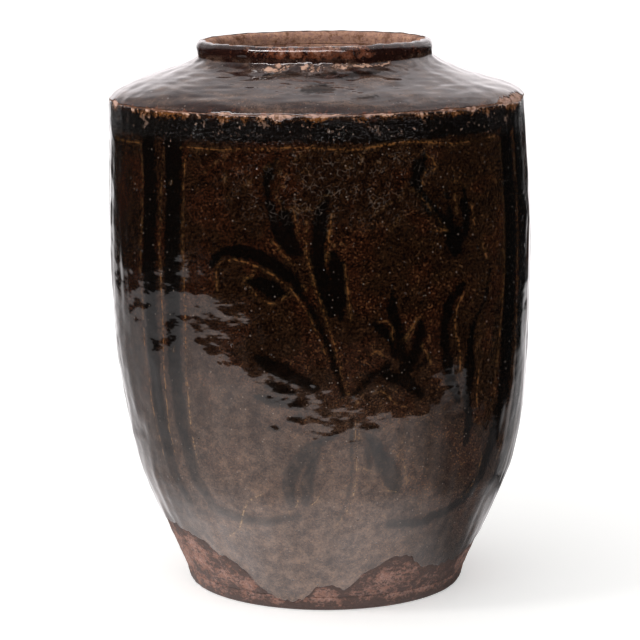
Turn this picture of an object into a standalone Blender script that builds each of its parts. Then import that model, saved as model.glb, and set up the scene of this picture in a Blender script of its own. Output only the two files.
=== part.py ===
"""A tall glazed vinegar pot, as the clay sections and glaze coats that it is made of.

The jar is turned round Z and stands on Z = 0, with its front towards -Y. Its clay sections are luted
together: each joint has a low ridge on the piece below and a groove in the piece above, with a film
of slip between them. The outside of the clay is drawn once, as one line from the base slab up to the
lip, and every wall, joint and glaze coat is worked out from it.
"""

import math

import bmesh
import bpy
from mathutils import Color

# Heights, each measured up from the one before it, in metres
BASE_THICKNESS = 0.012
STRAIGHT_RISE = 0.059
CURVE_RISE = 0.219
UPPER_RISE = 0.1045
SHOULDER_RISE = 0.0317
NECK_RISE = 0.0029
LIP_RISE = 0.0098

# Radii of the clay, and the widths that set the other radii, in metres
FOOT_RADIUS = 0.1110
BASE_FLARE = 0.0031
STRAIGHT_TOP_RADIUS = 0.1399
BELLY_RADIUS = 0.1685
EDGE_RADIUS = 0.1648
MOUTH_RADIUS = 0.0810
LIP_WIDTH = 0.0129
LIP_OVERHANG = 0.0009

# Walls and coats, in metres
WALL_THICKNESS = 0.009
SHOULDER_THICKNESS = 0.009
GLAZE_THICKNESS = 0.0008
SLIP_GAP = 0.0003

# Where the sections meet: the first above the wall's straight run, the second below the edge
BOWL_RISE = 0.059
JOINT_UNDER_EDGE = 0.009
JOINT_RIDGE = 0.0018

# Small forms, in metres
FOOT_ROUNDING = 0.0025
FLOOR_FILLET = 0.012
BARE_EDGE = 0.0022
MOUTH_SHELF = 0.010
LINING_STOP = 0.006

# The upper section is set off plumb: the sideways lean of the mouth, and how much higher the lip
# stands at its right side than at its middle
MOUTH_LEAN = 0.0087
LIP_TILT = 0.0010

# The uneven lower edge of the glaze: its greatest height above the base slab, and its height there
# every 30 degrees, from the back round by the left side, the front and the right side
HEM_RISE = 0.045
HEM_SHARES = (0.75, 0.84, 0.93, 1.0, 0.95, 0.38, 0.22, 0.66, 0.56, 0.72, 0.84, 0.76)

# The body between its straight run and the belly: height and growth of the radius
CURVE_SHARES = (
    (0.0, 0.0),
    (0.064, 0.196),
    (0.132, 0.380),
    (0.201, 0.509),
    (0.269, 0.608),
    (0.361, 0.725),
    (0.475, 0.842),
    (0.589, 0.918),
    (0.726, 0.952),
    (0.863, 0.988),
    (1.0, 1.0),
)

# The shoulder between the edge and the neck: way inwards and rise. The neck is luted on at the
# fifth place, where the slope turns up into it.
SHOULDER_SHARES = (
    (0.065, 0.135),
    (0.255, 0.328),
    (0.508, 0.512),
    (0.750, 0.697),
    (0.864, 0.800),
    (0.935, 0.885),
    (0.985, 0.965),
)
NECK_PLACE = 4

# The lip's widest place above its foot, and how square its top is
LIP_WAIST_SHARE = 0.33
LIP_SQUARENESS = 3.0

# How finely the shapes are drawn
ROUND_STEPS = 48
BOWL_STEPS = 4
UPPER_STEPS = 6
FILLET_STEPS = 3
LIP_STEPS = 8
SMOOTH_ANGLE = math.radians(35)
MERGE_DISTANCE = 0.000001

# Worked out from the sizes above
BASE_TOP_RADIUS = FOOT_RADIUS + BASE_FLARE
LIP_RADIUS = MOUTH_RADIUS + LIP_WIDTH
NECK_RADIUS = LIP_RADIUS - LIP_OVERHANG
STRAIGHT_TOP_Z = BASE_THICKNESS + STRAIGHT_RISE
SECTION_Z = STRAIGHT_TOP_Z + BOWL_RISE
BELLY_Z = STRAIGHT_TOP_Z + CURVE_RISE
EDGE_Z = BELLY_Z + UPPER_RISE
WALL_TOP_Z = EDGE_Z - JOINT_UNDER_EDGE
NECK_Z = EDGE_Z + SHOULDER_RISE
LIP_Z = NECK_Z + NECK_RISE
CREST_Z = LIP_Z + LIP_RISE
COAT_DEPTH = SLIP_GAP + GLAZE_THICKNESS


def clear_scene():
    for scene_object in list(bpy.data.objects):
        bpy.data.objects.remove(scene_object, do_unlink=True)


def fired_surface(name, colour_hex, roughness):
    """A plain material for one fired surface."""
    material = bpy.data.materials.new(name)
    material.use_nodes = True
    shader = material.node_tree.nodes["Principled BSDF"]
    channels = [int(colour_hex[i : i + 2], 16) / 255 for i in (0, 2, 4)]
    colour = Color(channels).from_srgb_to_scene_linear()
    shader.inputs["Base Color"].default_value = (*colour, 1)
    shader.inputs["Roughness"].default_value = roughness
    shader.inputs["Metallic"].default_value = 0
    return material


def smooth_step(share):
    return share * share * (3 - 2 * share)


def smooth_through(places, at):
    """The value at one place on the smooth curve through the places, which never overshoots them."""
    slopes = [(b[1] - a[1]) / (b[0] - a[0]) for a, b in zip(places, places[1:])]
    tangents = [slopes[0]]
    for before, after in zip(slopes, slopes[1:]):
        turns = before * after <= 0
        tangents.append(0 if turns else 2 * before * after / (before + after))
    tangents.append(slopes[-1])
    i = sum(1 for place in places[1:-1] if place[0] <= at)
    width = places[i + 1][0] - places[i][0]
    t = (at - places[i][0]) / width
    start = places[i][1] + t * (1 - t) ** 2 * width * tangents[i]
    end = places[i + 1][1] - places[i][1]
    return start + end * smooth_step(t) - t * t * (1 - t) * width * tangents[i + 1]


def body_radius(z):
    """The clay's outer radius at a height between the top of the base slab and the edge."""
    if z <= STRAIGHT_TOP_Z:
        share = (z - BASE_THICKNESS) / STRAIGHT_RISE
        return BASE_TOP_RADIUS + (STRAIGHT_TOP_RADIUS - BASE_TOP_RADIUS) * share
    if z <= BELLY_Z:
        growth = smooth_through(CURVE_SHARES, (z - STRAIGHT_TOP_Z) / CURVE_RISE)
        return STRAIGHT_TOP_RADIUS + (BELLY_RADIUS - STRAIGHT_TOP_RADIUS) * growth
    return BELLY_RADIUS + (EDGE_RADIUS - BELLY_RADIUS) * smooth_step((z - BELLY_Z) / UPPER_RISE)


def spaced(low, high, steps):
    """Evenly spaced heights after low, up to high."""
    return [low + (high - low) * (i + 1) / steps for i in range(steps)]


def unit(vector):
    length = math.hypot(*vector)
    return (vector[0] / length, vector[1] / length)


def towards(a, b):
    return unit((b[0] - a[0], b[1] - a[1]))


def moved(point, way, distance):
    return (point[0] + way[0] * distance, point[1] + way[1] * distance)


def beside(line, distance):
    """The line moved to its left by the same distance all along, with its corners kept sharp."""
    ways = [towards(a, b) for a, b in zip(line, line[1:])]
    shifted = []
    for i, point in enumerate(line):
        before = ways[max(i - 1, 0)]
        after = ways[min(i, len(ways) - 1)]
        left = unit((-before[1] - after[1], before[0] + after[0]))
        lean = left[1] * after[0] - left[0] * after[1]
        shifted.append(moved(point, left, distance / lean))
    return shifted


def arc(centre, radius, start, end, steps):
    """Points on a round, by angle from straight down, turning outwards."""
    angles = [start + (end - start) * i / steps for i in range(steps + 1)]
    return [(centre[0] + radius * math.sin(a), centre[1] - radius * math.cos(a)) for a in angles]


def lip_line():
    """The lip's rounded top, from its outer side over the crest to the mouth."""
    middle = (LIP_RADIUS + MOUTH_RADIUS) / 2
    waist_z = LIP_Z + LIP_RISE * LIP_WAIST_SHARE
    points = []
    for i in range(LIP_STEPS + 1):
        angle = math.pi * i / LIP_STEPS
        across = abs(math.cos(angle)) ** (2 / LIP_SQUARENESS)
        up = abs(math.sin(angle)) ** (2 / LIP_SQUARENESS)
        side = 1 if 2 * i < LIP_STEPS else -1
        points.append((middle + side * across * LIP_WIDTH / 2, waist_z + up * (CREST_Z - waist_z)))
    points[0] = (LIP_RADIUS, waist_z)
    points[-1] = (MOUTH_RADIUS, waist_z)
    return points


def outer_line():
    """The clay's outside from the base slab up to the lip's foot, and the places of its landmarks."""
    line = [(BASE_TOP_RADIUS, BASE_THICKNESS), (STRAIGHT_TOP_RADIUS, STRAIGHT_TOP_Z)]
    line += [(body_radius(z), z) for z in spaced(STRAIGHT_TOP_Z, SECTION_Z, BOWL_STEPS)]
    section = len(line) - 1
    line += [(body_radius(z), z) for z in spaced(SECTION_Z, WALL_TOP_Z, UPPER_STEPS)]
    wall_top = len(line) - 1
    edge = (EDGE_RADIUS, EDGE_Z)
    way_in = EDGE_RADIUS - NECK_RADIUS
    slope = [(EDGE_RADIUS - way_in * way, EDGE_Z + SHOULDER_RISE * rise) for way, rise in SHOULDER_SHARES]
    line += [(EDGE_RADIUS, EDGE_Z - BARE_EDGE), edge, moved(edge, towards(edge, slope[0]), BARE_EDGE)]
    corner = len(line) - 2
    line += slope
    neck = len(line) - len(slope) + NECK_PLACE
    line += [(NECK_RADIUS, NECK_Z), (NECK_RADIUS, LIP_Z)]
    return line, section, wall_top, corner, neck


def inner_lines(outer, wall_top, corner, neck):
    """The clay's inside: the wall up from the floor with its fillet, and the shoulder's underside."""
    wall = beside(outer[: wall_top + 2], WALL_THICKNESS)[: wall_top + 1]
    way_up = towards(wall[0], wall[1])
    toe = moved(wall[0], way_up, (BASE_THICKNESS - wall[0][1]) / way_up[1])
    turn = math.atan2(way_up[1], way_up[0])
    start = toe[0] - FLOOR_FILLET * math.tan(turn / 2)
    fillet = arc((start, BASE_THICKNESS + FLOOR_FILLET), FLOOR_FILLET, 0, turn, FILLET_STEPS)
    wall = fillet + wall[1:]
    slope = beside([outer[corner + 3], outer[neck]], SHOULDER_THICKNESS)
    way_in = towards(*slope)
    under_corner = moved(slope[0], way_in, (wall[-1][0] - slope[0][0]) / way_in[0])
    shelf = moved(slope[0], way_in, (MOUTH_RADIUS + MOUTH_SHELF - slope[0][0]) / way_in[0])
    return wall, [under_corner, shelf, (MOUTH_RADIUS, shelf[1])]


def joint(outside, inside):
    """The ridged top face of one section, from outside in, and the grooved face that rests on it."""
    across = towards(outside, inside)
    up = (across[1], -across[0])
    ridge = moved(((outside[0] + inside[0]) / 2, (outside[1] + inside[1]) / 2), up, JOINT_RIDGE)
    face = [outside, ridge, inside]
    return face, [moved(point, up, SLIP_GAP) for point in face]


def hem_height(x, y):
    """The glaze's lower edge above the base slab, in the direction of a point."""
    turn = (math.atan2(y, x) - math.pi / 2) % math.tau * len(HEM_SHARES) / math.tau
    place = int(turn) % len(HEM_SHARES)
    low = HEM_SHARES[place]
    high = HEM_SHARES[(place + 1) % len(HEM_SHARES)]
    return HEM_RISE * (low + (high - low) * smooth_step(turn - int(turn)))


def cut_hem(mesh):
    """Slides the lowest ring of the glaze along the straight run to its uneven height."""
    flare = (STRAIGHT_TOP_RADIUS - BASE_TOP_RADIUS) / STRAIGHT_RISE
    for vertex in mesh.verts:
        if vertex.co.z > BASE_THICKNESS + STRAIGHT_RISE / 2:
            continue
        radius = math.hypot(vertex.co.x, vertex.co.y)
        rise = hem_height(vertex.co.x, vertex.co.y)
        wider = (radius + rise * flare) / radius
        vertex.co.x *= wider
        vertex.co.y *= wider
        vertex.co.z += rise


def set_off_plumb(mesh):
    """Leans and tilts everything above the lower section, more with height."""
    for vertex in mesh.verts:
        rise = max(vertex.co.z - SECTION_Z, 0) / (CREST_Z - SECTION_Z)
        vertex.co.z += vertex.co.x * LIP_TILT / LIP_RADIUS * rise
        vertex.co.x -= MOUTH_LEAN * rise


def turned(name, section, material, finish=None):
    """One piece, its section turned round Z. A section that ends on the axis is left open there."""
    mesh = bmesh.new()
    verts = [mesh.verts.new((r, 0, z)) for r, z in section]
    edges = [mesh.edges.new(pair) for pair in zip(verts, verts[1:])]
    if section[0][0] > 0:
        edges.append(mesh.edges.new((verts[-1], verts[0])))
    bmesh.ops.spin(
        mesh,
        geom=verts + edges,
        cent=(0, 0, 0),
        axis=(0, 0, 1),
        angle=math.tau,
        steps=ROUND_STEPS,
        use_merge=True,
    )
    bmesh.ops.remove_doubles(mesh, verts=mesh.verts, dist=MERGE_DISTANCE)
    if finish:
        finish(mesh)
    set_off_plumb(mesh)
    bmesh.ops.recalc_face_normals(mesh, faces=mesh.faces)
    data = bpy.data.meshes.new(name)
    mesh.to_mesh(data)
    mesh.free()
    data.shade_smooth()
    data.set_sharp_from_angle(angle=SMOOTH_ANGLE)
    data.materials.append(material)
    piece = bpy.data.objects.new(name, data)
    bpy.context.scene.collection.objects.link(piece)
    return piece


def coat(line, near, far):
    """A thin coat that follows a line, between two distances to the left of it."""
    return beside(line, near) + beside(line, far)[::-1]


def clay_pieces(outer, section, wall_top, corner, neck):
    wall, under = inner_lines(outer, wall_top, corner, neck)
    wall_start = len(wall) - 1 - wall_top
    toe_ridge, toe_groove = joint(outer[0], wall[0])
    section_ridge, section_groove = joint(outer[section], wall[wall_start + section])
    top_ridge, top_groove = joint(outer[wall_top], wall[-1])
    neck_ridge, neck_groove = joint(outer[neck], (MOUTH_RADIUS, outer[neck][1]))
    lip_ridge, lip_groove = joint(outer[-1], (MOUTH_RADIUS, LIP_Z))
    proud = beside(outer, -COAT_DEPTH)
    bare_edge = [outer[corner - 1], *proud[corner - 1 : corner + 2], outer[corner + 1]]
    foot_centre = (FOOT_RADIUS - FOOT_ROUNDING, FOOT_ROUNDING)
    foot = arc(foot_centre, FOOT_ROUNDING, 0, math.pi / 2, FILLET_STEPS)
    base = [(0, 0), *foot, *toe_ridge, (0, BASE_THICKNESS)]
    lower = [*toe_groove[::-1], *outer[1:section], *section_ridge, *wall[1 : wall_start + section][::-1]]
    upper_inside = wall[wall_start + section + 1 : -1][::-1]
    upper = [*section_groove[::-1], *outer[section + 1 : wall_top], *top_ridge, *upper_inside]
    slope = outer[corner + 2 : neck]
    shoulder = [*top_groove[::-1], *bare_edge, *slope, *neck_ridge, *under[::-1]]
    collar = [*neck_groove[::-1], *outer[neck + 1 : -1], *lip_ridge]
    lip = [*lip_groove[::-1], *lip_line()]
    turned("base_disc", base, fired_surface("Base slab biscuit clay", "7F5748", 0.9))
    turned("lower_wall", lower, fired_surface("Lower wall biscuit clay", "94685A", 0.9))
    turned("upper_wall", upper, fired_surface("Upper wall biscuit clay", "966B5A", 0.9))
    turned("shoulder", shoulder, fired_surface("Shoulder biscuit clay", "B08A78", 0.85))
    turned("neck_collar", collar, fired_surface("Neck biscuit clay", "A57C68", 0.85))
    turned("rim_roll", lip, fired_surface("Lip biscuit clay", "A6785C", 0.8))
    return wall, under


def glaze_pieces(outer, corner, wall, under):
    wall_line = outer[:corner]
    wall_line[-1] = moved(wall_line[-1], (0, -1), SLIP_GAP)
    body = coat(wall_line, -COAT_DEPTH, -SLIP_GAP)
    top_line = outer[corner + 1 :] + lip_line()[: LIP_STEPS // 2 + 1]
    top_line[0] = moved(top_line[0], towards(top_line[0], top_line[1]), SLIP_GAP)
    top = coat(top_line, -COAT_DEPTH, -SLIP_GAP)
    stop = moved(under[1], towards(under[1], under[0]), LINING_STOP)
    lining_line = [(0, BASE_THICKNESS), *wall, under[0], stop]
    lining = coat(lining_line, SLIP_GAP, COAT_DEPTH)
    lining[0] = (0, lining[0][1])
    lining[-1] = (0, lining[-1][1])
    turned("wall_glaze", body, fired_surface("Iron brown glaze", "2B1A10", 0.12), cut_hem)
    turned("shoulder_glaze", top, fired_surface("Iron black glaze", "17120F", 0.1))
    turned("lining_glaze", lining, fired_surface("Thin brown lining glaze", "3A2318", 0.3))


def main():
    clear_scene()
    outer, section, wall_top, corner, neck = outer_line()
    wall, under = clay_pieces(outer, section, wall_top, corner, neck)
    glaze_pieces(outer, corner, wall, under)


main()
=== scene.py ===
"""The looks of a tall vinegar pot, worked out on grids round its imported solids.

Angles round the pot are measured from its front, towards its right side. The clay's outside is one line
of radius and height, and every clay section and every coat of glaze is a closed ring that follows it.
"""

import math
from functools import partial

import bpy
import numpy as np
from bpy.props import FloatProperty, FloatVectorProperty, PointerProperty
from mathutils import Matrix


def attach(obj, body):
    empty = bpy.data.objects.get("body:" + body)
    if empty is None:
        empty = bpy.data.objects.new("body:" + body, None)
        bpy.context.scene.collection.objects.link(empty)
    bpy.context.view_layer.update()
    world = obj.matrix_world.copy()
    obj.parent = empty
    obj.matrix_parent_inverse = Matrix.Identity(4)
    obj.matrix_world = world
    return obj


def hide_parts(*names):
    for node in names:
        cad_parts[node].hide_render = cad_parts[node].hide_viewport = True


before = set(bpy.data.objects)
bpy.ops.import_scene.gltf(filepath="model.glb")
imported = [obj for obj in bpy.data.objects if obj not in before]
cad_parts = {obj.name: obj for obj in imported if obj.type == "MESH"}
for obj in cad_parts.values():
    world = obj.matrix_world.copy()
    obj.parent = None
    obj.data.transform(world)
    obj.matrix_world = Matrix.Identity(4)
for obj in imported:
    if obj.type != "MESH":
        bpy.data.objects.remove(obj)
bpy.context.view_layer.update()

bl_info = {
    "name": "Vinegar pot",
    "version": (1, 0, 0),
    "blender": (4, 5, 0),
    "location": "View3D > Sidebar > Pot",
    "description": "Builds the clay sections, the glaze coats and the studio of a tall vinegar pot",
    "category": "Add Mesh",
}

MM = 0.001

# Radius that the whole turns of the waves round the wall are worked out for, in metres, and the wall's
# length for one degree, in millimetres
MEAN_RADIUS = 0.165
MM_PER_DEGREE = 2.93

# Step between the places of a line, and how far the clay's line goes on past the shelf under the mouth
LINE_STEP = 0.0004
PAST_SHELF = 0.004

# How far each clay section keeps off the joint with the next
JOINT_GAP = 0.00008

# How far out on the shoulder its twist reaches the full lift
TWIST_RADIUS = 0.13

# Distance between the bare ring at the worn edge and the rows of clay on either side
BESIDE_RING = 0.0004

# The coats of glaze: how far their back stands off the clay, the round at their ends, and how much thinner
# they are at the worn edge and over what reach
COAT_BACK = 0.35 * MM
COAT_ROUNDING = 0.5 * MM
THIN_END = 0.3 * MM
THIN_REACH = 2.5 * MM

# What a vertex keeps where no stroke or line is near: the depth in a stroke, the distance to a line and its
# half width, and how far beside a line its own half width is kept, all in millimetres
NO_STROKE = -8.0
FAR_OFF = 9.0
NO_LINE = -3.0
LINE_REACH = 2.8

# Settings of a Mix node for colours, whose result is its output number 2
OF_COLOURS = {"data_type": "RGBA", "out": 2}

# The body between its straight run and the belly: height and growth of the radius, as shares
CURVE_SHARES = (
    (0, 0), (0.064, 0.196), (0.132, 0.38), (0.201, 0.509), (0.269, 0.608), (0.361, 0.725),
    (0.475, 0.842), (0.589, 0.918), (0.726, 0.952), (0.863, 0.988), (1, 1),
)

# The shoulder from the edge to the neck: way inwards and rise, as shares. The neck starts at NECK_SHARE.
SHOULDER_SHARES = (
    (0, 0), (0.065, 0.135), (0.255, 0.328), (0.508, 0.512), (0.75, 0.697), (0.864, 0.8), (0.935, 0.885),
    (0.985, 0.965), (1, 1),
)
NECK_SHARE = 0.864

# Sideways sway of the thrown wall by height, towards the right: height in metres, sway in millimetres
SWAY = (
    (0, 0), (0.13, 0), (0.2, -0.6), (0.23, -0.4), (0.26, 0), (0.29, 0.3), (0.32, 0.7), (0.35, 0.7),
    (0.375, 0.5), (0.394, 0.6), (0.43, -0.2), (0.45, -0.2),
)

# Lower edge of the glaze: angle in degrees, height in millimetres
HEM = (
    (-180, 46), (-150, 50), (-120, 54), (-90, 57), (-62, 58), (-50, 54), (-42, 47), (-35, 38), (-30, 31),
    (-25, 17), (-20, 11), (-13, 9), (-8, 12), (-3, 22), (3, 24), (7, 19), (11, 27), (16, 36), (22, 44),
    (28, 48), (34, 40), (40, 32), (48, 31), (57, 31.5), (66, 38.5), (78, 43), (90, 44), (120, 50),
    (150, 46), (180, 46),
)

# Painted strokes of black slip. Each place is angle in degrees, height and half width in millimetres.
FRAME_STROKES = (
    tuple((a, 383, 8.5) for a in range(-180, 181, 12)),
    ((-50.3, 374, 8), (-50, 330, 8.2), (-50.6, 280, 8.4), (-51, 220, 8), (-51.3, 160, 8), (-50, 110, 7),
     (-46, 88, 5)),
    ((-40.6, 374, 9), (-40.8, 330, 8.5), (-41.5, 270, 8), (-42, 210, 7.5), (-42.6, 150, 7),
     (-41, 110, 6), (-36, 88, 5)),
    ((60.6, 374, 10), (60.6, 290, 10.5), (60, 230, 10.5), (58.6, 170, 9.5), (55.6, 135, 8), (52, 106, 7),
     (47, 89, 6)),
    ((69.6, 374, 11), (70, 300, 11.5), (70, 220, 11), (69, 150, 9), (66, 110, 7), (60, 90, 5)),
    ((47, 89, 5), (40, 80, 4.5), (31, 75.5, 4.5), (20, 77, 4)),
    ((-37, 87, 4.5), (-28, 81, 4), (-17, 80, 3.5), (-8, 86, 2.5)),
    ((182, 374, 8.5), (182.5, 300, 9), (183, 220, 8.5), (182, 150, 8), (179, 110, 6), (172, 88, 5)),
    ((192, 374, 8), (191.6, 300, 8.5), (192, 220, 8), (193, 150, 8), (196, 110, 6), (203, 88, 5)),
)
PLANT_STROKES = (
    ((-28.7, 281, 2.5), (-27, 288, 4), (-24, 292.5, 5), (-20, 293.5, 5.6), (-16, 290.5, 6),
     (-12, 284.5, 6), (-9, 277, 5.2), (-6.5, 270.5, 4.6), (-5, 264, 4), (-3.3, 256, 3.4), (-1.8, 247, 3),
     (-0.2, 236, 2.8), (1.6, 223, 2.6), (3.2, 209, 2.6), (4.4, 196, 2.4), (5.4, 185, 2.2)),
    ((-18.4, 271, 2.5), (-15.5, 269.5, 6.5), (-12.6, 266, 8), (-10.2, 262.5, 5), (-9.2, 260.5, 2)),
    ((-10.6, 362, 2), (-12.2, 356, 4), (-13, 346, 4.2), (-12.8, 335, 3.6), (-12.1, 322, 3.4),
     (-11, 312, 4.4), (-9.4, 303, 5.4), (-7.4, 295, 5)),
    ((-9.2, 331, 1.5), (-8.6, 322, 4.6), (-8.2, 312, 5.6), (-7.5, 302, 6), (-6.2, 294, 5)),
    ((2.4, 338, 1.5), (1.2, 328, 4), (0.2, 315, 5.6), (-0.4, 300, 6), (-0.4, 287, 6.2), (0.2, 275, 6.4),
     (1.2, 262, 6), (2.4, 249, 5)),
    ((3, 292, 4), (4, 281, 6.6), (4.4, 268, 7), (4.6, 255, 6), (5, 244, 2.5)),
    ((29.4, 362, 2), (27.4, 357, 5), (26, 350, 5.6), (25.6, 342, 5), (26.7, 334, 4.2), (28.7, 326, 4),
     (31, 319, 4.4), (33.4, 312, 5), (35.6, 305, 7), (37, 298, 9), (37.4, 291, 7), (37.2, 285, 3)),
    ((40.4, 338, 1.5), (40.9, 330, 2.8), (40.5, 320, 4), (41.2, 311, 4.2), (40.6, 302, 4)),
    ((34.8, 336, 1), (35.2, 325, 2.6), (35.8, 313, 3)),
    ((40.2, 262, 1.8), (37.6, 258.5, 4), (35.4, 250, 5.2), (34.2, 240, 5), (33.9, 230, 4.2),
     (34, 216, 4.6), (35, 200, 5.4), (36.6, 186, 4.6), (38.6, 174, 3)),
    ((43.4, 228, 2), (42.6, 212, 4), (42.4, 196, 5.6), (42, 180, 5), (42.4, 166, 4), (43.6, 150, 4.6),
     (43, 138, 3)),
    ((18.4, 262, 2), (18.2, 250, 4.6), (19.4, 238, 4.6), (20.6, 225, 4), (21.4, 212, 4.6)),
    ((13.6, 238, 2.5), (15.8, 233, 4.6), (18, 226, 4), (19.4, 215, 3)),
    ((26.8, 241, 1.6), (26.4, 230, 4.4), (25.4, 219, 4.8), (24, 209, 5.4), (22, 202, 5)),
    ((15, 200, 2.6), (19, 196.5, 5), (23, 190.5, 6), (26.4, 182, 4)),
    ((8, 185, 2), (10.8, 193, 2.6), (13.8, 201, 3), (17, 206, 3.4)),
    ((3.4, 154, 2), (-1.6, 147, 4), (-5.6, 138, 5), (-8.6, 126, 6), (-10.4, 112, 6.6), (-9.8, 98, 4)),
    ((-1, 148, 2), (-3.6, 131, 4.6), (-5, 113, 6), (-5.6, 99, 4)),
    ((11, 153, 2), (13.8, 143, 6), (16.2, 131, 7.6), (18.8, 118, 8), (20.4, 107, 5)),
    ((11.4, 143, 1.5), (11.8, 135, 3), (12.2, 128, 2)),
    ((7.5, 165, 1.2), (7.3, 140, 1.2), (7.4, 120, 1.2), (6.4, 100, 1), (4, 84, 0.8)),
    ((50, 276, 0.7), (49.2, 256, 0.9), (47.8, 245, 1), (45.8, 238, 1), (44, 230, 1), (43.5, 222, 0.8)),
    ((21, 197, 1), (27, 205, 1.6), (30, 212, 1)),
    ((-17, 213, 2.5), (-14.5, 209.7, 6), (-10, 203, 6.5), (-6.8, 197.6, 6), (-2.2, 191, 3.5)),
    ((-14, 191, 2.5), (-11, 188.8, 4.4), (-8, 186, 3.4)),
    ((-17.5, 182, 2.5), (-14, 180, 4), (-10, 178.5, 4), (-6.5, 177.5, 4.6)),
    ((-9.4, 164, 2), (-7.5, 165.6, 3), (-5.6, 168, 2)),
    ((-14.8, 158, 1.4), (-13.4, 157.9, 2.4), (-12, 158, 1.4)),
    ((10.4, 158.4, 1.6), (12.4, 158, 2.6), (14.6, 157, 1.4)),
)

# Lines where the glaze breaks amber over a raised or scored edge, drawn in the same way
FRAME_LINES = (
    ((-38, 368, 0.7), (-34, 368.6, 1), (-27, 368, 0.9), (-20, 369.6, 0.9), (-14, 370, 1.3),
     (-8, 371, 0.9), (-2, 371, 1.2), (4, 369.6, 1), (10, 369, 1.1), (15, 370.6, 1.2), (20, 372.6, 1.3),
     (24, 373.4, 1.2), (29, 371.8, 1.2), (34, 370.8, 1), (39, 369.2, 0.8), (46, 369.6, 0.5),
     (50, 370.6, 0.8), (55, 371, 0.6)),
    ((-71, 368, 0.6), (-64, 366.6, 0.8), (-55, 368, 0.9), (-53.6, 369, 0.6)),
    ((-53.8, 368, 0.4), (-53.3, 350, 0.4), (-53.3, 330, 0.4), (-53.7, 300, 0.5), (-54.5, 270, 0.6),
     (-54.6, 240, 0.8), (-55, 215, 1), (-54.6, 190, 0.9), (-54.8, 160, 0.9), (-53.6, 120, 0.8)),
    ((-44.2, 366, 0.4), (-44.5, 350, 0.5), (-45.4, 335, 0.6), (-45.8, 310, 0.6), (-46, 290, 0.7),
     (-46, 250, 1), (-46.3, 220, 1.1), (-46.5, 200, 1.1), (-47.5, 170, 1.1), (-48.3, 145, 1),
     (-47.6, 118, 0.8)),
    ((-36.6, 362, 1), (-37, 340, 0.6), (-37.3, 320, 0.4), (-37.5, 300, 0.6), (-37.5, 270, 0.7),
     (-37.8, 240, 1), (-38, 210, 1.1), (-38.5, 180, 1), (-39.4, 150, 1), (-38.6, 122, 0.9)),
    ((-18.2, 103.6, 0.9), (-21, 99, 1.3), (-23.2, 96, 1.2), (-25.4, 86, 1), (-26.6, 78, 1.1),
     (-28.2, 70, 1.1), (-33, 62, 0.9)),
    ((56.9, 366, 0.3), (57, 320, 0.35), (56.8, 275, 0.5), (56.4, 240, 0.8), (55.4, 215, 0.8),
     (54.4, 195, 0.7), (53.7, 175, 0.6), (53, 158, 0.5)),
    ((65, 372, 0.4), (65.4, 300, 0.5), (65, 220, 0.8), (63.8, 150, 0.9), (60, 112, 0.8)),
    ((51, 122, 0.8), (50, 107, 0.8), (48.2, 95, 0.8), (45.4, 89.6, 0.7)),
    ((75, 372, 0.3), (75, 300, 0.4), (74.6, 220, 1), (73, 140, 0.9), (69, 105, 0.8)),
    ((79, 369, 0.9), (100, 370, 1), (125, 368, 1), (150, 370, 1), (176, 369, 0.9)),
    ((177.6, 368, 0.9), (178, 300, 1), (178.2, 200, 1), (176, 120, 0.8)),
    ((187, 372, 0.9), (187.4, 300, 1), (187.6, 200, 1), (187.4, 120, 0.8)),
    ((196.4, 368, 0.9), (196, 300, 1), (196.6, 200, 1), (199, 120, 0.8)),
    ((198, 369, 0.9), (220, 370, 1), (250, 368.6, 1), (282, 369.6, 0.9)),
)
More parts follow.
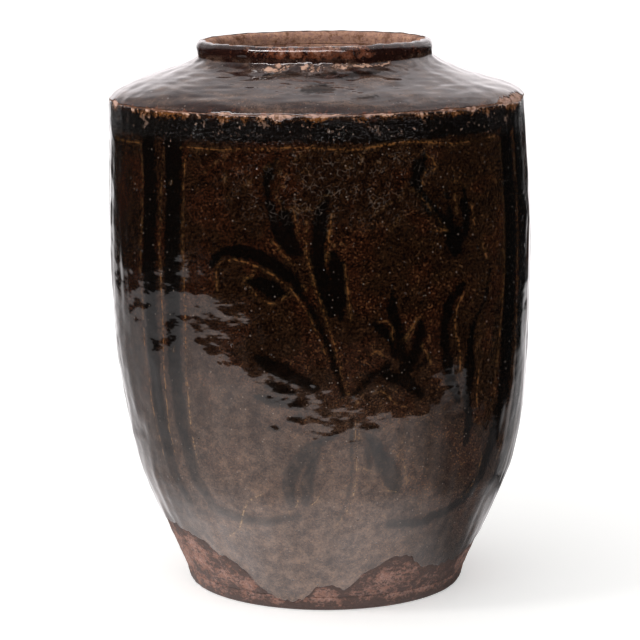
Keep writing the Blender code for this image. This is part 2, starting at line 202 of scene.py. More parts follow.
PLANT_LINES = (
    ((-27.2, 262, 0.6), (-27.4, 272, 0.8), (-27.2, 280, 0.9), (-25.4, 285.4, 1), (-22, 286.4, 1),
     (-18, 284, 1), (-15, 281, 1), (-12, 276.4, 1.1), (-10, 272, 1), (-7.6, 266.6, 0.9),
     (-5.6, 258, 0.9), (-3.6, 248.6, 0.8), (-1.8, 238, 0.8), (0, 225, 0.7), (1.6, 211, 0.6)),
    ((-12, 302.6, 0.8), (-10.6, 297.6, 1.3), (-8.6, 290.6, 1.2), (-7, 285, 0.8)),
    ((-6.4, 325, 0.6), (-5.8, 315, 0.9), (-5.1, 303, 0.8)),
    ((-3.2, 317, 0.6), (-3.4, 300, 0.8), (-3.2, 290, 0.8), (-2.3, 281, 0.9), (-1.5, 270, 0.9),
     (-0.5, 260, 0.8), (0.8, 249, 0.8), (2, 237, 0.8), (3.2, 225, 0.9), (4.5, 211, 0.8), (5.6, 197, 0.8),
     (6.6, 185, 0.7)),
    ((-4.4, 268.6, 0.6), (-3, 262, 0.7)),
    ((3.2, 323, 0.7), (2.6, 310, 1.2), (2.1, 296, 1.2), (1.6, 284, 1)),
    ((6.4, 284, 0.6), (6.7, 270, 0.9), (7.2, 257, 1.1), (7.5, 242, 0.8)),
    ((-17.2, 262.6, 0.9), (-15.2, 257.6, 1.1), (-13.4, 254.6, 1), (-11.8, 254, 0.7)),
    ((-10.4, 256.4, 0.6), (-8.8, 260.4, 0.7)),
    ((-20, 267, 0.5), (-19.2, 272.6, 0.7), (-17, 276.4, 0.6)),
    ((24.4, 338.6, 0.5), (27.6, 329.6, 0.6), (31.2, 317, 0.6), (33.8, 306.6, 0.5)),
    ((30.4, 306.4, 0.8), (32, 305, 0.9), (34.8, 305.4, 0.6)),
    ((29.2, 362.6, 0.7), (30.8, 359.6, 1.1), (32, 353.6, 1.1), (31, 350.4, 0.7)),
    ((29, 350.6, 0.7), (27.6, 346, 0.9), (27.8, 340, 0.7)),
    ((36.6, 342, 0.5), (38.8, 340.6, 0.7), (41, 337, 0.5)),
    ((37.8, 336, 0.5), (37.6, 326, 0.7), (38, 317, 0.5)),
    ((43.2, 323, 0.7), (43.5, 312, 1), (44.6, 302, 0.7)),
    ((47, 292.4, 1), (47.4, 285, 1), (48.8, 279.6, 0.7)),
    ((41.6, 253, 1.1), (40.2, 254.4, 1.2), (39, 251, 1), (37.8, 245, 1), (37.2, 236, 1.2),
     (37.4, 227, 1.1), (38.6, 217, 1.4), (39, 205, 1.2), (39, 195, 0.8)),
    ((44.6, 208, 0.8), (45.2, 214.6, 0.9), (46.4, 217, 0.7)),
    ((46.4, 201, 0.7), (46.1, 185, 1.2), (45.8, 171, 1.1), (46.6, 162, 0.7)),
    ((20.8, 222, 0.6), (22.6, 227.4, 0.7), (24, 234, 0.8), (25.4, 241.6, 0.8), (27.4, 241, 0.6)),
    ((14.6, 240, 0.6), (17, 240.4, 0.7), (18.4, 235, 0.9), (18.6, 226, 0.7)),
    ((26.6, 221, 0.6), (28.2, 213, 0.8), (29.6, 204, 0.7)),
    ((12, 214, 0.7), (14.6, 218.4, 1), (16, 214, 0.6)),
    ((14, 187, 0.8), (16.6, 184.6, 1.2), (19, 176.6, 1), (22.6, 172, 0.7)),
    ((7.4, 170, 0.6), (9, 177.6, 0.9), (10.2, 184, 0.7)),
    ((8.4, 163, 0.8), (8.3, 140, 0.7), (8.7, 122, 0.9), (8.2, 106, 1), (7, 94, 0.8), (5, 84, 0.7),
     (2.8, 77, 0.5)),
    ((-1, 106.4, 0.6), (-2.6, 100, 0.9), (-4.2, 95.6, 0.7)),
    ((-7.8, 110, 0.5), (-7.9, 98, 0.9), (-9.2, 91, 0.9), (-11.6, 89.6, 0.6)),
    ((20, 134, 0.5), (22, 130.6, 1.2), (23, 120, 0.5), (23.8, 110, 0.5)),
    ((17, 107, 0.5), (19.4, 105.4, 0.9), (22.4, 104, 0.6)),
    ((9.4, 127.4, 0.5), (11.6, 124.2, 0.6)),
    ((9.6, 154, 0.9), (9.2, 149, 0.9)),
)

# Fine pale scores in the glaze, drawn in the same way. The last three are painted glints: short pale marks
# that stand in for a lamp's light caught in dimples.
SCORES_AND_GLINTS = (
    ((-11.2, 361.6, 0.3), (-10, 357, 0.4), (-9, 352.6, 0.3)),
    ((-13.8, 356, 0.3), (-11.4, 358.6, 0.35), (-9.8, 361, 0.3)),
    ((-11.6, 339.6, 0.3), (-9.8, 342.6, 0.45), (-8, 342, 0.3)),
    ((-11.6, 337.6, 0.3), (-10.8, 333, 0.35), (-9.6, 331, 0.3)),
    ((-10, 350.6, 0.4), (-8.8, 349.4, 0.5), (-7.6, 351, 0.3)),
    ((-5.6, 365.6, 0.3), (-4, 366.4, 0.4), (-3.4, 362, 0.3)),
    ((-6, 361, 0.3), (-4.8, 364.6, 0.35), (-3, 365, 0.3)),
    ((-2.8, 356, 0.4), (-2.2, 352.6, 0.4), (-1.8, 350, 0.3)),
    ((-9.6, 326, 0.3), (-6, 326, 0.5), (-3.6, 325, 0.4), (-0.4, 327, 0.3)),
    ((0.6, 331.6, 0.3), (1.8, 335.4, 0.5), (3, 335, 0.3)),
    ((4.6, 361.6, 0.35), (6, 359.8, 0.5), (8, 359.4, 0.3)),
    ((7, 356, 0.3), (9.6, 355.4, 0.5), (10.6, 352.6, 0.35)),
    ((10.4, 366, 0.3), (11.6, 363, 0.4), (11, 359, 0.3)),
    ((14, 362.6, 0.3), (16.2, 359.4, 0.5), (17.6, 356, 0.3)),
    ((14.4, 322, 0.3), (17, 326, 0.45), (20.4, 330.6, 0.35), (22.6, 337.4, 0.3)),
    ((22, 343, 0.3), (23, 339, 0.5), (23.8, 336, 0.3)),
    ((2, 296, 0.3), (4.4, 299.6, 0.4), (6.2, 299, 0.3), (7.6, 292, 0.3)),
    ((-19.4, 341, 0.3), (-17.6, 345.6, 0.35), (-16.4, 349, 0.3)),
    ((-24.6, 364, 0.35), (-24.5, 352, 0.5), (-24.6, 342, 0.35)),
    ((-30.6, 350, 0.3), (-28.4, 355, 0.35), (-26.4, 360, 0.3)),
    ((17.6, 308, 0.3), (19, 311, 0.35), (20.6, 317, 0.3)),
    # Painted glints: pale marks that stand in for light caught in dimples of the glaze
    ((-41.9, 338.7, 0.8), (-41.6, 340.7, 1.5), (-41.3, 342.7, 0.7)),
    ((-18.3, 264.4, 0.7), (-18.1, 265.8, 1.2), (-17.9, 267.2, 0.6)),
    ((-42.4, 210.3, 0.5), (-42.2, 211.9, 1), (-42, 213.5, 0.5)),
)

# Swellings where the glaze pooled over the brush strokes: angle in degrees, height, half width, half height
# and rise in millimetres
SWELLINGS = (
    (-14.5, 205, 8, 5, 0.17), (-10, 198.5, 9, 4.5, 0.16), (-6.8, 193, 8, 4.5, 0.16),
    (-2, 187, 6, 4, 0.16), (-11, 185.4, 9, 3.8, 0.3), (-14.6, 176.4, 10, 4.2, 0.56),
    (-7.5, 173.8, 6.5, 4.4, 0.46), (-7.5, 162.4, 7, 3.4, 0.5), (-13.4, 155, 4.8, 3.2, 0.6),
    (-12, 143.4, 3, 2.8, 0.7), (-22.5, 205, 3.8, 3.2, 0.2), (-17.5, 195.5, 7, 4, 0.13),
    (-1.9, 162, 8, 3.2, 0.28), (12.2, 155.6, 7, 3, 0.34), (20.1, 163.6, 5, 3.2, 0.3),
    (29, 165.4, 3.2, 3, 0.36), (25.4, 165.4, 3, 3, 0.36), (4.4, 177, 7, 4.2, 0.2),
    (10.9, 180, 8, 4.5, 0.16), (15.2, 183, 6, 4, 0.15), (1.6, 168, 6, 3.4, 0.22),
    (-32.4, 279.6, 6, 4.4, 0.1), (-35.5, 258, 6, 5, 0.13), (-28.1, 265.6, 5, 4.6, 0.1),
    (-24.8, 245, 7, 4.4, 0.16), (-29, 232, 8, 4.6, 0.15), (-20, 228, 8, 4.2, 0.14),
    (-37.5, 236, 5, 4, 0.13), (-47, 250, 6, 4, 0.08), (-52, 240, 6, 4.6, 0.08), (-62, 246, 7, 4.6, 0.08),
    (7.5, 184.8, 9, 3.4, 0.32), (0.8, 191.4, 8, 3.2, 0.36), (13.4, 189.4, 6, 2.8, 0.34),
    (16.4, 204.6, 6, 2.8, 0.42), (31.5, 197.2, 4, 3.2, 0.34), (38, 214, 5, 5, 0.14),
)

# Hollows in the glaze on the shoulder, which mirror little and are painted black as a painted dark
# reflection, drawn in the same way
SHOULDER_POOLS_PAINTED_DARK = (
    ((-4.4, 409.6, 1.2), (-1.4, 410.2, 2.6), (3, 410.6, 3), (6.2, 409.8, 1.4)),
    ((10.4, 404.2, 0.6), (15, 404.8, 1.2), (19, 405.6, 0.6)),
    ((-21, 417.6, 1.4), (-15, 418.6, 2.6), (-9, 418.8, 2.2), (-3, 418.6, 1.6)),
    ((-4, 416.8, 0.6), (3, 418.2, 1.6), (9, 419.4, 1.6)),
    ((8, 417, 1), (16, 418, 1.8), (26, 419.6, 1.6), (33, 420.6, 0.8)),
)

# Other panels round the pot: the angle of their middle, and whether the plant leans the other way
OTHER_PANELS = (
    (128, -1), (-122, -1),
)
PANEL_MIDDLE = 10

# Places on the worn edge where the glaze is chipped off: angle, half width in degrees, and how far the
# bare clay reaches down the wall and up the shoulder, in millimetres
CHIPS = (
    (-73, 3, 2.2, 1.6), (-24, 1.4, 0.6, 1.6), (-9, 2.6, 2.6, 1), (-1, 1.6, 0.8, 0.9), (13, 1, 1.6, 0.4),
    (37, 3, 0.6, 0.9), (45, 2.4, 1.6, 0.6), (63, 4.5, 0.8, 5), (73, 6, 1.6, 6.5), (104, 3, 2.4, 1.2),
    (150, 4, 1.2, 2.6), (-168, 3, 2.6, 0.8), (-128, 5, 1.2, 2.2), (-101, 2, 1.8, 1),
)

# Bare patches at the root of the neck: angle, half width in degrees, height and half height in millimetres
NECK_PATCHES = (
    (-17.5, 6, 423, 3.2), (-1, 4.6, 423.4, 2.6), (12, 4, 424.6, 2.4), (22, 9, 424.4, 1.4),
    (34, 4, 425.4, 2.2), (96, 7, 424, 2.4), (152, 9, 424, 2), (-135, 6, 424, 2.8),
)


def linear(colour_hex):
    """Linear red, green and blue of an sRGB hex colour, by the sRGB curve."""
    shares = np.array([int(colour_hex[i : i + 2], 16) for i in (0, 2, 4)]) / 255
    curve = np.where(shares <= 0.04045, shares / 12.92, ((shares + 0.055) / 1.055) ** 2.4)
    return tuple(float(c) for c in curve)


def length(name, description, default):
    """A length in metres that the panel shows."""
    return FloatProperty(name=name, description=description, default=default, unit="LENGTH", precision=4)


def colour(name, description, colour_hex):
    """A colour that the panel shows, given as sRGB and kept as linear."""
    return FloatVectorProperty(
        name=name, description=description, default=linear(colour_hex), subtype="COLOR", size=3, min=0, max=1
    )


class PotSizes(bpy.types.PropertyGroup):
    """Lengths of the pot's clay and glaze"""

    base_thickness: length("Base slab", "Thickness of the slab that the pot stands on", 0.012)
    straight_rise: length("Straight run", "Rise of the straight lower wall above the slab", 0.059)
    curve_rise: length("Curved run", "Rise from the straight run to the belly", 0.219)
    upper_rise: length("Upper run", "Rise from the belly to the edge of the shoulder", 0.1045)
    shoulder_rise: length("Shoulder rise", "Rise from the edge to the top of the neck's curve", 0.0317)
    neck_rise: length("Neck rise", "Height of the upright neck", 0.0029)
    lip_rise: length("Lip rise", "Height of the rolled lip", 0.0098)
    foot_radius: length("Foot radius", "Radius of the underside", 0.1110)
    base_flare: length("Slab flare", "How much wider the slab is at its top", 0.0031)
    straight_top_radius: length("Lower radius", "Radius at the top of the straight run", 0.1399)
    belly_radius: length("Belly radius", "Greatest radius of the clay", 0.1685)
    edge_radius: length("Edge radius", "Radius of the edge between wall and shoulder", 0.1648)
    mouth_radius: length("Mouth radius", "Radius of the opening", 0.0810)
    lip_width: length("Lip width", "Width of the rolled lip", 0.0129)
    lip_overhang: length("Lip overhang", "How far the lip stands out over the neck", 0.0009)
    joint_rise: length("First joint", "Height of the joint in the wall above the straight run", 0.059)
    joint_drop: length("Second joint", "Depth of the joint below the edge", 0.009)
    wall: length("Wall", "Thickness of the clay", 0.009)
    mouth_shelf: length("Mouth shelf", "Width of the level ring under the mouth", 0.010)
    lean: length("Lean", "Sideways lean of the mouth", 0.0087)
    tilt: length("Tilt", "How much higher the lip stands at its right side", 0.0010)
    coat: length("Glaze", "Height of the glaze's surface over the clay", 0.0011)
    shoulder_lift: length("Shoulder twist", "How much higher the shoulder stands at its left side", 0.0012)


class PotColours(bpy.types.PropertyGroup):
    """Colours of the clay, the glaze, the slip and the floor"""

    glaze_dark: colour("Dark glaze", "Thick iron glaze, nearly black", "0D0402")
    glaze_brown: colour("Brown glaze", "Iron glaze with its crystals", "3A2415")
    glaze_red: colour("Red brown glaze", "Iron glaze where it cooled red", "412112")
    glaze_gold: colour("Gold glaze", "Largest crystals", "926A40")
    glaze_amber: colour("Amber glaze", "Glaze where it ran thin over an edge", "875328")
    shoulder_dark: colour("Dark shoulder", "Thick glaze on shoulder and neck", "200F0C")
    shoulder_brown: colour("Brown shoulder", "Glaze with its crystals on shoulder and neck", "42261E")
    # Black of the slip, also painted in the shoulder's pools as a painted dark reflection
    slip_black: colour("Black slip", "Painted strokes under the glaze", "060403")
    lip_brown: colour("Lip brown", "Thin glaze on the front of the lip", "844A30")
    glint_dark: colour("Crystal glint, dark", "Light thrown back by crystals, in dark patches", "7E4A2E")
    glint_light: colour("Crystal glint, light", "Light thrown back by crystals, in light patches", "ECBE9C")
    line_amber: colour("Amber line", "Glaze broken thin over an edge", "86562C")
    # Tan of the lines under the haze, partly a painted reflection of the lit floor
    line_tan_haze_and_sheen: colour("Tan line", "The same line where the glaze is hazy", "B8946A")
    # Pale colour of scores and crazing, and of the painted glints
    score_and_glint: colour("Score", "Scored and crazed glaze", "96887E")
    # The haze colours are partly the dull glaze and partly a painted reflection of the lit floor
    haze_dark: colour("Hazy glaze, dark", "Glaze dulled on the lower wall, in its dark patches", "402C1E")
    haze_light: colour("Hazy glaze, light", "Glaze dulled on the lower wall, in its light patches", "84695A")
    clay_pink: colour("Pink clay", "Bare fired clay of the foot", "C8A398")
    clay_rust: colour("Rust clay", "Redder patches of the bare clay", "A47C6E")
    clay_brown: colour("Brown clay", "Toasted clay of the foot", "4A3C38")
    clay_tan: colour("Tan clay", "Bare clay of lip and edge", "D8B09A")
    clay_throat: colour("Throat clay", "Bare clay inside the neck", "C89A80")
    clay_toast: colour("Toasted clay", "Browned clay of lip and edge", "6E4429")
    lining: colour("Lining glaze", "Thin brown glaze inside", "2E1D14")
    floor: colour("Floor", "Pale studio floor", "F4F3F1")


def through(places, at):
    """Height of the smooth curve through the places. Between two of them it is a cubic, whose slope at each
    place is the harmonic mean of the slopes on either side, so it never overshoots."""
    x, y = np.array(places, float).T
    step = np.diff(x)
    slope = np.diff(y) / step
    product = slope[:-1] * slope[1:]
    total = np.where(product > 0, slope[:-1] + slope[1:], 1)
    middle = np.where(product > 0, 2 * product / total, 0)
    tangent = np.concatenate([slope[:1], middle, slope[-1:]])
    i = np.clip(np.searchsorted(x, at, side="right") - 1, 0, len(step) - 1)
    t = (at - x[i]) / step[i]
    bend = t * (1 - t) ** 2 * step[i] * tangent[i] - t * t * (1 - t) * step[i] * tangent[i + 1]
    return y[i] + bend + (y[i + 1] - y[i]) * t * t * (3 - 2 * t)


def smooth(low, high, value):
    """Nought at low and past it, one at high and past it, and three t squared less two t cubed between
    them, where t is the share of the way from low to high. Low may be the greater of the two."""
    t = np.clip((value - low) / (high - low), 0, 1)
    return t * t * (3 - 2 * t)


def turned(degrees, middle):
    """Angle from the middle to each place, from half a turn back to half a turn on."""
    return (degrees - middle + 180) % 360 - 180


def about(degrees, middle, width):
    """A flat-topped bell curve: e to the power of minus the fourth power of the angle from the middle,
    over the width."""
    return np.exp(-((turned(degrees, middle) / width) ** 4))


def ripple(angle, along, wave, seed, squat=1.0, count=36):
    """Soft unevenness whose root mean square is one: the sum of cosine waves, times the root of two over
    their count. Each has about the same wavelength, a random heading and phase, and a whole number of
    turns round the pot. Squat ones are wider than tall. A length along the line of nought gives an
    unevenness of angle alone."""
    rng = np.random.default_rng(seed)
    heading = rng.uniform(0, np.pi, count)
    size = math.tau / (wave * rng.uniform(0.7, 1.4, count))
    turns = np.round(size * np.cos(heading) * MEAN_RADIUS / squat)
    rises = size * np.sin(heading)
    phases = rng.uniform(0, math.tau, count)
    total = 0
    for turn, rise, phase in zip(turns, rises, phases):
        total = total + np.cos(turn * angle + rise * along + phase)
    return total * math.sqrt(2 / count)


class Line:
    """A line of radius and height by length along it, with its way outwards, to the right of its run."""

    def __init__(self, radius, height, rounding):
        """The raw line is laid out at even steps, and each place becomes the mean of its neighbours,
        weighted by a bell curve of the rounding, so corners become soft."""
        run = np.concatenate([[0], np.cumsum(np.hypot(np.diff(radius), np.diff(height)))])
        self.raw = np.array([radius, height, run])
        self.run = np.arange(0, run[-1], LINE_STEP)
        reach = int(4 * rounding / LINE_STEP)
        bell = np.exp(-0.5 * (np.arange(-reach, reach + 1) * LINE_STEP / rounding) ** 2)
        bell /= bell.sum()
        even = [np.interp(self.run, run, values) for values in (radius, height)]
        padded = [
            np.concatenate([2 * v[0] - v[reach:0:-1], v, 2 * v[-1] - v[-2 : -reach - 2 : -1]]) for v in even
        ]
        self.radius, self.height = (np.convolve(v, bell, "valid") for v in padded)
        across = np.gradient(self.radius, LINE_STEP)
        up = np.gradient(self.height, LINE_STEP)
        size = np.hypot(across, up)
        self.out = up / size, -across / size

    def place(self, radius, height):
        """Length along the line at its place nearest to a radius and height."""
        return self.raw[2][np.argmin((self.raw[0] - radius) ** 2 + (self.raw[1] - height) ** 2)]

    def at(self, along, outwards=0.0):
        """Radius and height at a length along the line, moved outwards from it."""
        radius = np.interp(along, self.run, self.radius)
        height = np.interp(along, self.run, self.height)
        way_r = np.interp(along, self.run, self.out[0])
        way_z = np.interp(along, self.run, self.out[1])
        return radius + way_r * outwards, height + way_z * outwards


class Outline:
    """The clay's outside as one line, from the foot up the wall, over the shoulder and the lip, and down
    the mouth, and the lengths along it where one section of clay ends and the next begins."""

    def __init__(self, sizes):
        """The slab and the straight run are cones. The curved run grows as CURVE_SHARES say, the upper
        run draws in by a smooth step, and the shoulder rises as SHOULDER_SHARES say. The lip is the upper
        half of an oval whose sine and cosine are raised to the power of two thirds, over a waist a third
        of the way up."""
        s = sizes
        self.sizes = s
        straight_z = s.base_thickness + s.straight_rise
        belly_z = straight_z + s.curve_rise
        self.edge_z = belly_z + s.upper_rise
        self.joint_z = straight_z + s.joint_rise
        lip_z = self.edge_z + s.shoulder_rise + s.neck_rise
        self.crest_z = lip_z + s.lip_rise
        slab_top = s.foot_radius + s.base_flare
        lip_radius = s.mouth_radius + s.lip_width
        neck_radius = lip_radius - s.lip_overhang
        z = np.linspace(0, self.edge_z, 900)
        slab = s.foot_radius + s.base_flare * z / s.base_thickness
        straight = slab_top + (s.straight_top_radius - slab_top) * (z - s.base_thickness) / s.straight_rise
        growth = through(CURVE_SHARES, np.clip((z - straight_z) / s.curve_rise, 0, 1))
        curve = s.straight_top_radius + (s.belly_radius - s.straight_top_radius) * growth
        upper = s.belly_radius + (s.edge_radius - s.belly_radius) * smooth(belly_z, self.edge_z, z)
        body = np.where(z < s.base_thickness, slab, np.where(z < straight_z, straight, curve))
        body = np.where(z < belly_z, body, upper)
        way = np.linspace(0, 1, 200)
        shoulder_r = s.edge_radius - (s.edge_radius - neck_radius) * way
        shoulder_z = self.edge_z + s.shoulder_rise * through(SHOULDER_SHARES, way)
        neck_at = s.edge_radius - (s.edge_radius - neck_radius) * NECK_SHARE
        neck_z = self.edge_z + s.shoulder_rise * float(through(SHOULDER_SHARES, np.array([NECK_SHARE]))[0])
        turn = np.linspace(0, np.pi, 90)
        middle = (lip_radius + s.mouth_radius) / 2
        waist = lip_z + s.lip_rise * 0.33
        lip_r = middle + np.sign(np.cos(turn)) * np.abs(np.cos(turn)) ** (2 / 3) * s.lip_width / 2
        lip_top = waist + np.abs(np.sin(turn)) ** (2 / 3) * (self.crest_z - waist)
        self.shelf_z = neck_z - s.wall * 1.15
        end_z = self.shelf_z - PAST_SHELF
        radius = np.concatenate([body, shoulder_r[1:], [neck_radius], lip_r, [s.mouth_radius]])
        height = np.concatenate([z, shoulder_z[1:], [lip_z], lip_top, [end_z]])
        self.line = Line(radius, height, 0.9 * MM)
        find = self.line.place
        top_z = self.edge_z - s.joint_drop
        self.slab_top = find(slab_top, s.base_thickness)
        self.joint = find(np.interp(self.joint_z, z, body), self.joint_z)
        self.wall_top = find(np.interp(top_z, z, body), top_z)
        self.edge = find(s.edge_radius, self.edge_z)
        self.neck = find(neck_at, neck_z)
        self.lip_foot = find(neck_radius, lip_z)
        self.crest = find(middle, self.crest_z)
        end = self.line.raw[2][-1]
        self.shelf = end - PAST_SHELF
        self.lip_inside = end - (lip_z - end_z)
        self.neck_inside = end - (neck_z - end_z)


def round_angles(fine, coarse):
    """Angles of the columns round the pot: close together over the front, wider apart behind."""
    front = np.linspace(-82, 82, fine, endpoint=False)
    back = np.linspace(82, 278, coarse, endpoint=False)
    return np.radians(np.concatenate([front, back]))[None]


def even_rows(start, end, count, angle):
    """Lengths along the line, evenly spaced from start to end, for every column round the pot."""
    return np.linspace(start, end, count)[:, None] + 0 * angle


def waviness(angle, along):
    """How far the thrown wall stands in or out, in metres: long swells and shorter waves, most of them
    wider than tall. The shoulder is calmer, the left side rougher, and the foot is true."""
    swell = 0.17 * ripple(angle, along, 0.085, 11) + 0.1 * ripple(angle, along, 0.04, 12, 1.6)
    short = 0.055 * ripple(angle, along, 0.022, 13, 1.5) + 0.024 * ripple(angle, along, 0.011, 14, 1.6, 48)
    calm = 1 - 0.88 * smooth(0.41, 0.43, along)
    rougher = 1 + 0.8 * about(np.degrees(angle), -75, 28)
    return (swell * (0.5 + 0.5 * calm) + short * calm * rougher) * MM * smooth(0.004, 0.05, along)


def swollen(degrees, height, angle):
    """Rise of the swellings in millimetres: a bell curve for each, with a slightly ragged outline."""
    ragged = 0.22 * ripple(angle, height * MM, 0.009, 121)
    total = 0 * height
    for middle, up, half_width, half_height, rise in SWELLINGS:
        across = turned(degrees, middle) * MM_PER_DEGREE / half_width
        total = total + rise * np.exp(-(across**2 + ((height - up) / half_height) ** 2) * (1 + ragged))
    return total


def set_off_plumb(outline, x, y, z):
    """Leans the upper section sideways in step with height above the first joint, tilts it, adds the wall's
    sway, and twists the shoulder up at the left, as a half sine between the neck and the edge."""
    s = outline.sizes
    rise = np.clip((z - outline.joint_z) / (outline.crest_z - outline.joint_z), 0, None)
    neck_radius = s.mouth_radius + s.lip_width
    share = np.clip((np.hypot(x, y) - neck_radius) / (s.edge_radius - neck_radius), 0, 1)
    top = smooth(outline.edge_z - 0.004, outline.edge_z + 0.004, z)
    twist = -s.shoulder_lift * x / TWIST_RADIUS * np.sin(np.pi * share) * top
    tilted = z + x * s.tilt / neck_radius * rise + twist
    return x - s.lean * rise + through(SWAY, np.clip(z, 0, SWAY[-1][0])) * MM, y, tilted


def make_piece(name, outline, angle, runs, node_names, material):
    """A closed solid from runs of radius and height: their rows follow the section, from its lowest place
    up the outside and back down the inside, and columns go round. Where the first and last rows have no
    radius, each becomes one point, or else the last row joins the first."""
    radius, height = (np.concatenate([part + 0 * angle for part in parts]) for parts in zip(*runs))
    rows, columns = radius.shape
    points = set_off_plumb(outline, radius * np.sin(angle), -radius * np.cos(angle), height)
    points = np.stack(points, axis=-1).reshape(-1, 3)
    number = np.arange(rows * columns).reshape(rows, columns)
    has_poles = np.max(radius[[0, -1]]) < 1e-9
    if has_poles:
        last_row = (rows - 1) * columns
        points = np.concatenate([points[:1], points[columns : last_row + 1]])
        number = np.clip(number - columns + 1, 0, len(points) - 1)
        low, high = number[:-1], number[1:]
    else:
        low, high = number, np.roll(number, -1, axis=0)
    corners = np.stack([low, np.roll(low, -1, axis=1), np.roll(high, -1, axis=1), high], axis=-1)
    quads, triangles = corners.reshape(-1, 4), np.zeros((0, 3), int)
    if has_poles:
        quads = corners[1:-1].reshape(-1, 4)
        triangles = np.concatenate([corners[0][:, [0, 2, 3]], corners[-1][:, [0, 1, 2]]])
    mesh = bpy.data.meshes.new(name)
    mesh.vertices.add(len(points))
    mesh.vertices.foreach_set("co", points.ravel())
    corner_list = np.concatenate([quads.ravel(), triangles.ravel()])
    starts = np.concatenate([np.arange(len(quads)) * 4, len(quads) * 4 + np.arange(len(triangles)) * 3])
    mesh.loops.add(len(corner_list))
    mesh.loops.foreach_set("vertex_index", corner_list)
    mesh.polygons.add(len(starts))
    mesh.polygons.foreach_set("loop_start", starts)
    mesh.update(calc_edges=True)
    if mesh.validate():
        raise RuntimeError(f"{name} has faces that are not sound")
    mesh.shade_smooth()
    mesh.materials.append(material)
    piece = bpy.data.objects.new(name, mesh)
    bpy.context.scene.collection.objects.link(piece)
    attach(piece, "root")
    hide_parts(*node_names)
    return piece


def mark(piece, **marks):
    """Keeps named numbers on the vertices of a piece's first rows, and nought on the rest."""
    for name, values in marks.items():
        full = np.zeros(len(piece.data.vertices), np.float32)
        full[: values.size] = values.ravel()
        attribute = piece.data.attributes.new(name, "FLOAT", "POINT")
        attribute.data.foreach_set("value", full)


def painted(strokes, degrees, height):
    """How deep each place lies inside the strokes, in millimetres, and below nought outside them: the
    greatest, over all stretches, of the half width less the distance to the stretch."""
    depth = np.full(height.shape, NO_STROKE)
    for stroke in strokes:
        for (a0, z0, w0), (a1, z1, w1) in zip(stroke, stroke[1:]):
            across = turned(degrees, a0) * MM_PER_DEGREE
            up = height - z0
            run_x, run_z = (a1 - a0) * MM_PER_DEGREE, z1 - z0
            share = np.clip((across * run_x + up * run_z) / (run_x**2 + run_z**2), 0, 1)
            away = np.hypot(across - share * run_x, up - share * run_z)
            depth = np.maximum(depth, w0 + (w1 - w0) * share - away)
    return depth


def drawn(lines, degrees, height):
    """Signed distance to the nearest line, in millimetres, and the line's half width there. Past a line's
    end the half width falls with the way past it, and away from all lines it is below nought."""
    nearest = np.full(height.shape, FAR_OFF)
    signed = np.full(height.shape, FAR_OFF)
    half = np.full(height.shape, NO_LINE)
    for line in lines:
        last = len(line) - 2
        for i, ((a0, z0, w0), (a1, z1, w1)) in enumerate(zip(line, line[1:])):
            across = turned(degrees, a0) * MM_PER_DEGREE
            up = height - z0
            run_x, run_z = (a1 - a0) * MM_PER_DEGREE, z1 - z0
            size = math.hypot(run_x, run_z)
            ahead = (across * run_x + up * run_z) / size
            share = np.clip(ahead / size, 0, 1)
            away = np.hypot(across - share * run_x, up - share * run_z)
            side = np.sign(across * run_z - up * run_x)
            past = np.maximum(-ahead if i == 0 else 0, ahead - size if i == last else 0)
            closer = away < nearest
            nearest = np.where(closer, away, nearest)
            signed = np.where(closer, away * np.where(side == 0, 1, side), signed)
            half = np.where(closer, w0 + (w1 - w0) * share - np.maximum(past, 0), half)
    return signed, np.where(nearest < LINE_REACH, half, NO_LINE)


def round_about(strokes):
    """The strokes of the front panel, and those of the other panels, leaned the other way where it says
    so."""
    everything = list(strokes)
    for middle, lean in OTHER_PANELS:
        for stroke in strokes:
            everything.append(tuple((middle + lean * (a - PANEL_MIDDLE), z, w) for a, z, w in stroke))
    return everything


def bare_reach(degrees, side):
    """How far bare clay reaches from the edge, in metres, down the wall for side nought and up the
    shoulder for side one: a thin worn line, and a flat-topped bell curve for each chip."""
    angle = np.radians(degrees)
    worn = 0.26 + 0.2 * ripple(angle, 0, 0.03, 31 + side) + 0.16 * ripple(angle, 0, 0.008, 33 + side)
    worn = np.clip(worn, 0.06, None)
    ragged = 1 + 0.22 * ripple(angle, 0, 0.006, 35 + side)
    for middle, width, down, up in CHIPS:
        worn = worn + (down, up)[side] * about(degrees, middle, width) * ragged
    return worn * MM


def hem_height(degrees):
    """Height of the glaze's lower edge: the curve through the places seen, with small scallops on it."""
    angle = np.radians(degrees)
    scallops = 0.9 * ripple(angle, 0, 0.022, 41) + 0.45 * ripple(angle, 0, 0.008, 42)
    return (through(HEM, turned(degrees, 0)) + scallops) * MM


def add(tree, kind, links=None, out=0, **settings):
    """Adds a node of one kind with its settings, and gives each named or numbered input a colour, a value
    or another node's output. Returns the node's output of a number or name, or the node itself for None.
    In a MapRange node inputs 1 and 2 are the range it takes, and 3 and 4 the range it gives, nought to
    one when they are left out. In a Mix node 0 is the share, 2 and 3 are numbers, and 6 and 7 colours."""
    node = tree.nodes.new("ShaderNode" + kind)
    for name, value in settings.items():
        setattr(node, name, value)
    for place, value in (links or {}).items():
        socket = node.inputs[place]
        if isinstance(value, bpy.types.NodeSocket):
            tree.links.new(value, socket)
        elif socket.type == "RGBA":
            socket.default_value = (*value, 1)
        else:
            socket.default_value = value
    return node if out is None else node.outputs[out]


def empty_tree(owner):
    """Empties the tree of a material or world, and gives the function that adds a node to it."""
    owner.use_nodes = True
    owner.node_tree.nodes.clear()
    return partial(add, owner.node_tree)


def new_material(name):
    """A material, the function that adds a node to its tree, and its Object coordinates."""
    material = bpy.data.materials.new(name)
    node = empty_tree(material)
    return material, node, node("TexCoord", out="Object")


def per(size_mm):
    """Scale of a pattern whose cells are so many millimetres wide."""
    return 1 / (size_mm * MM)


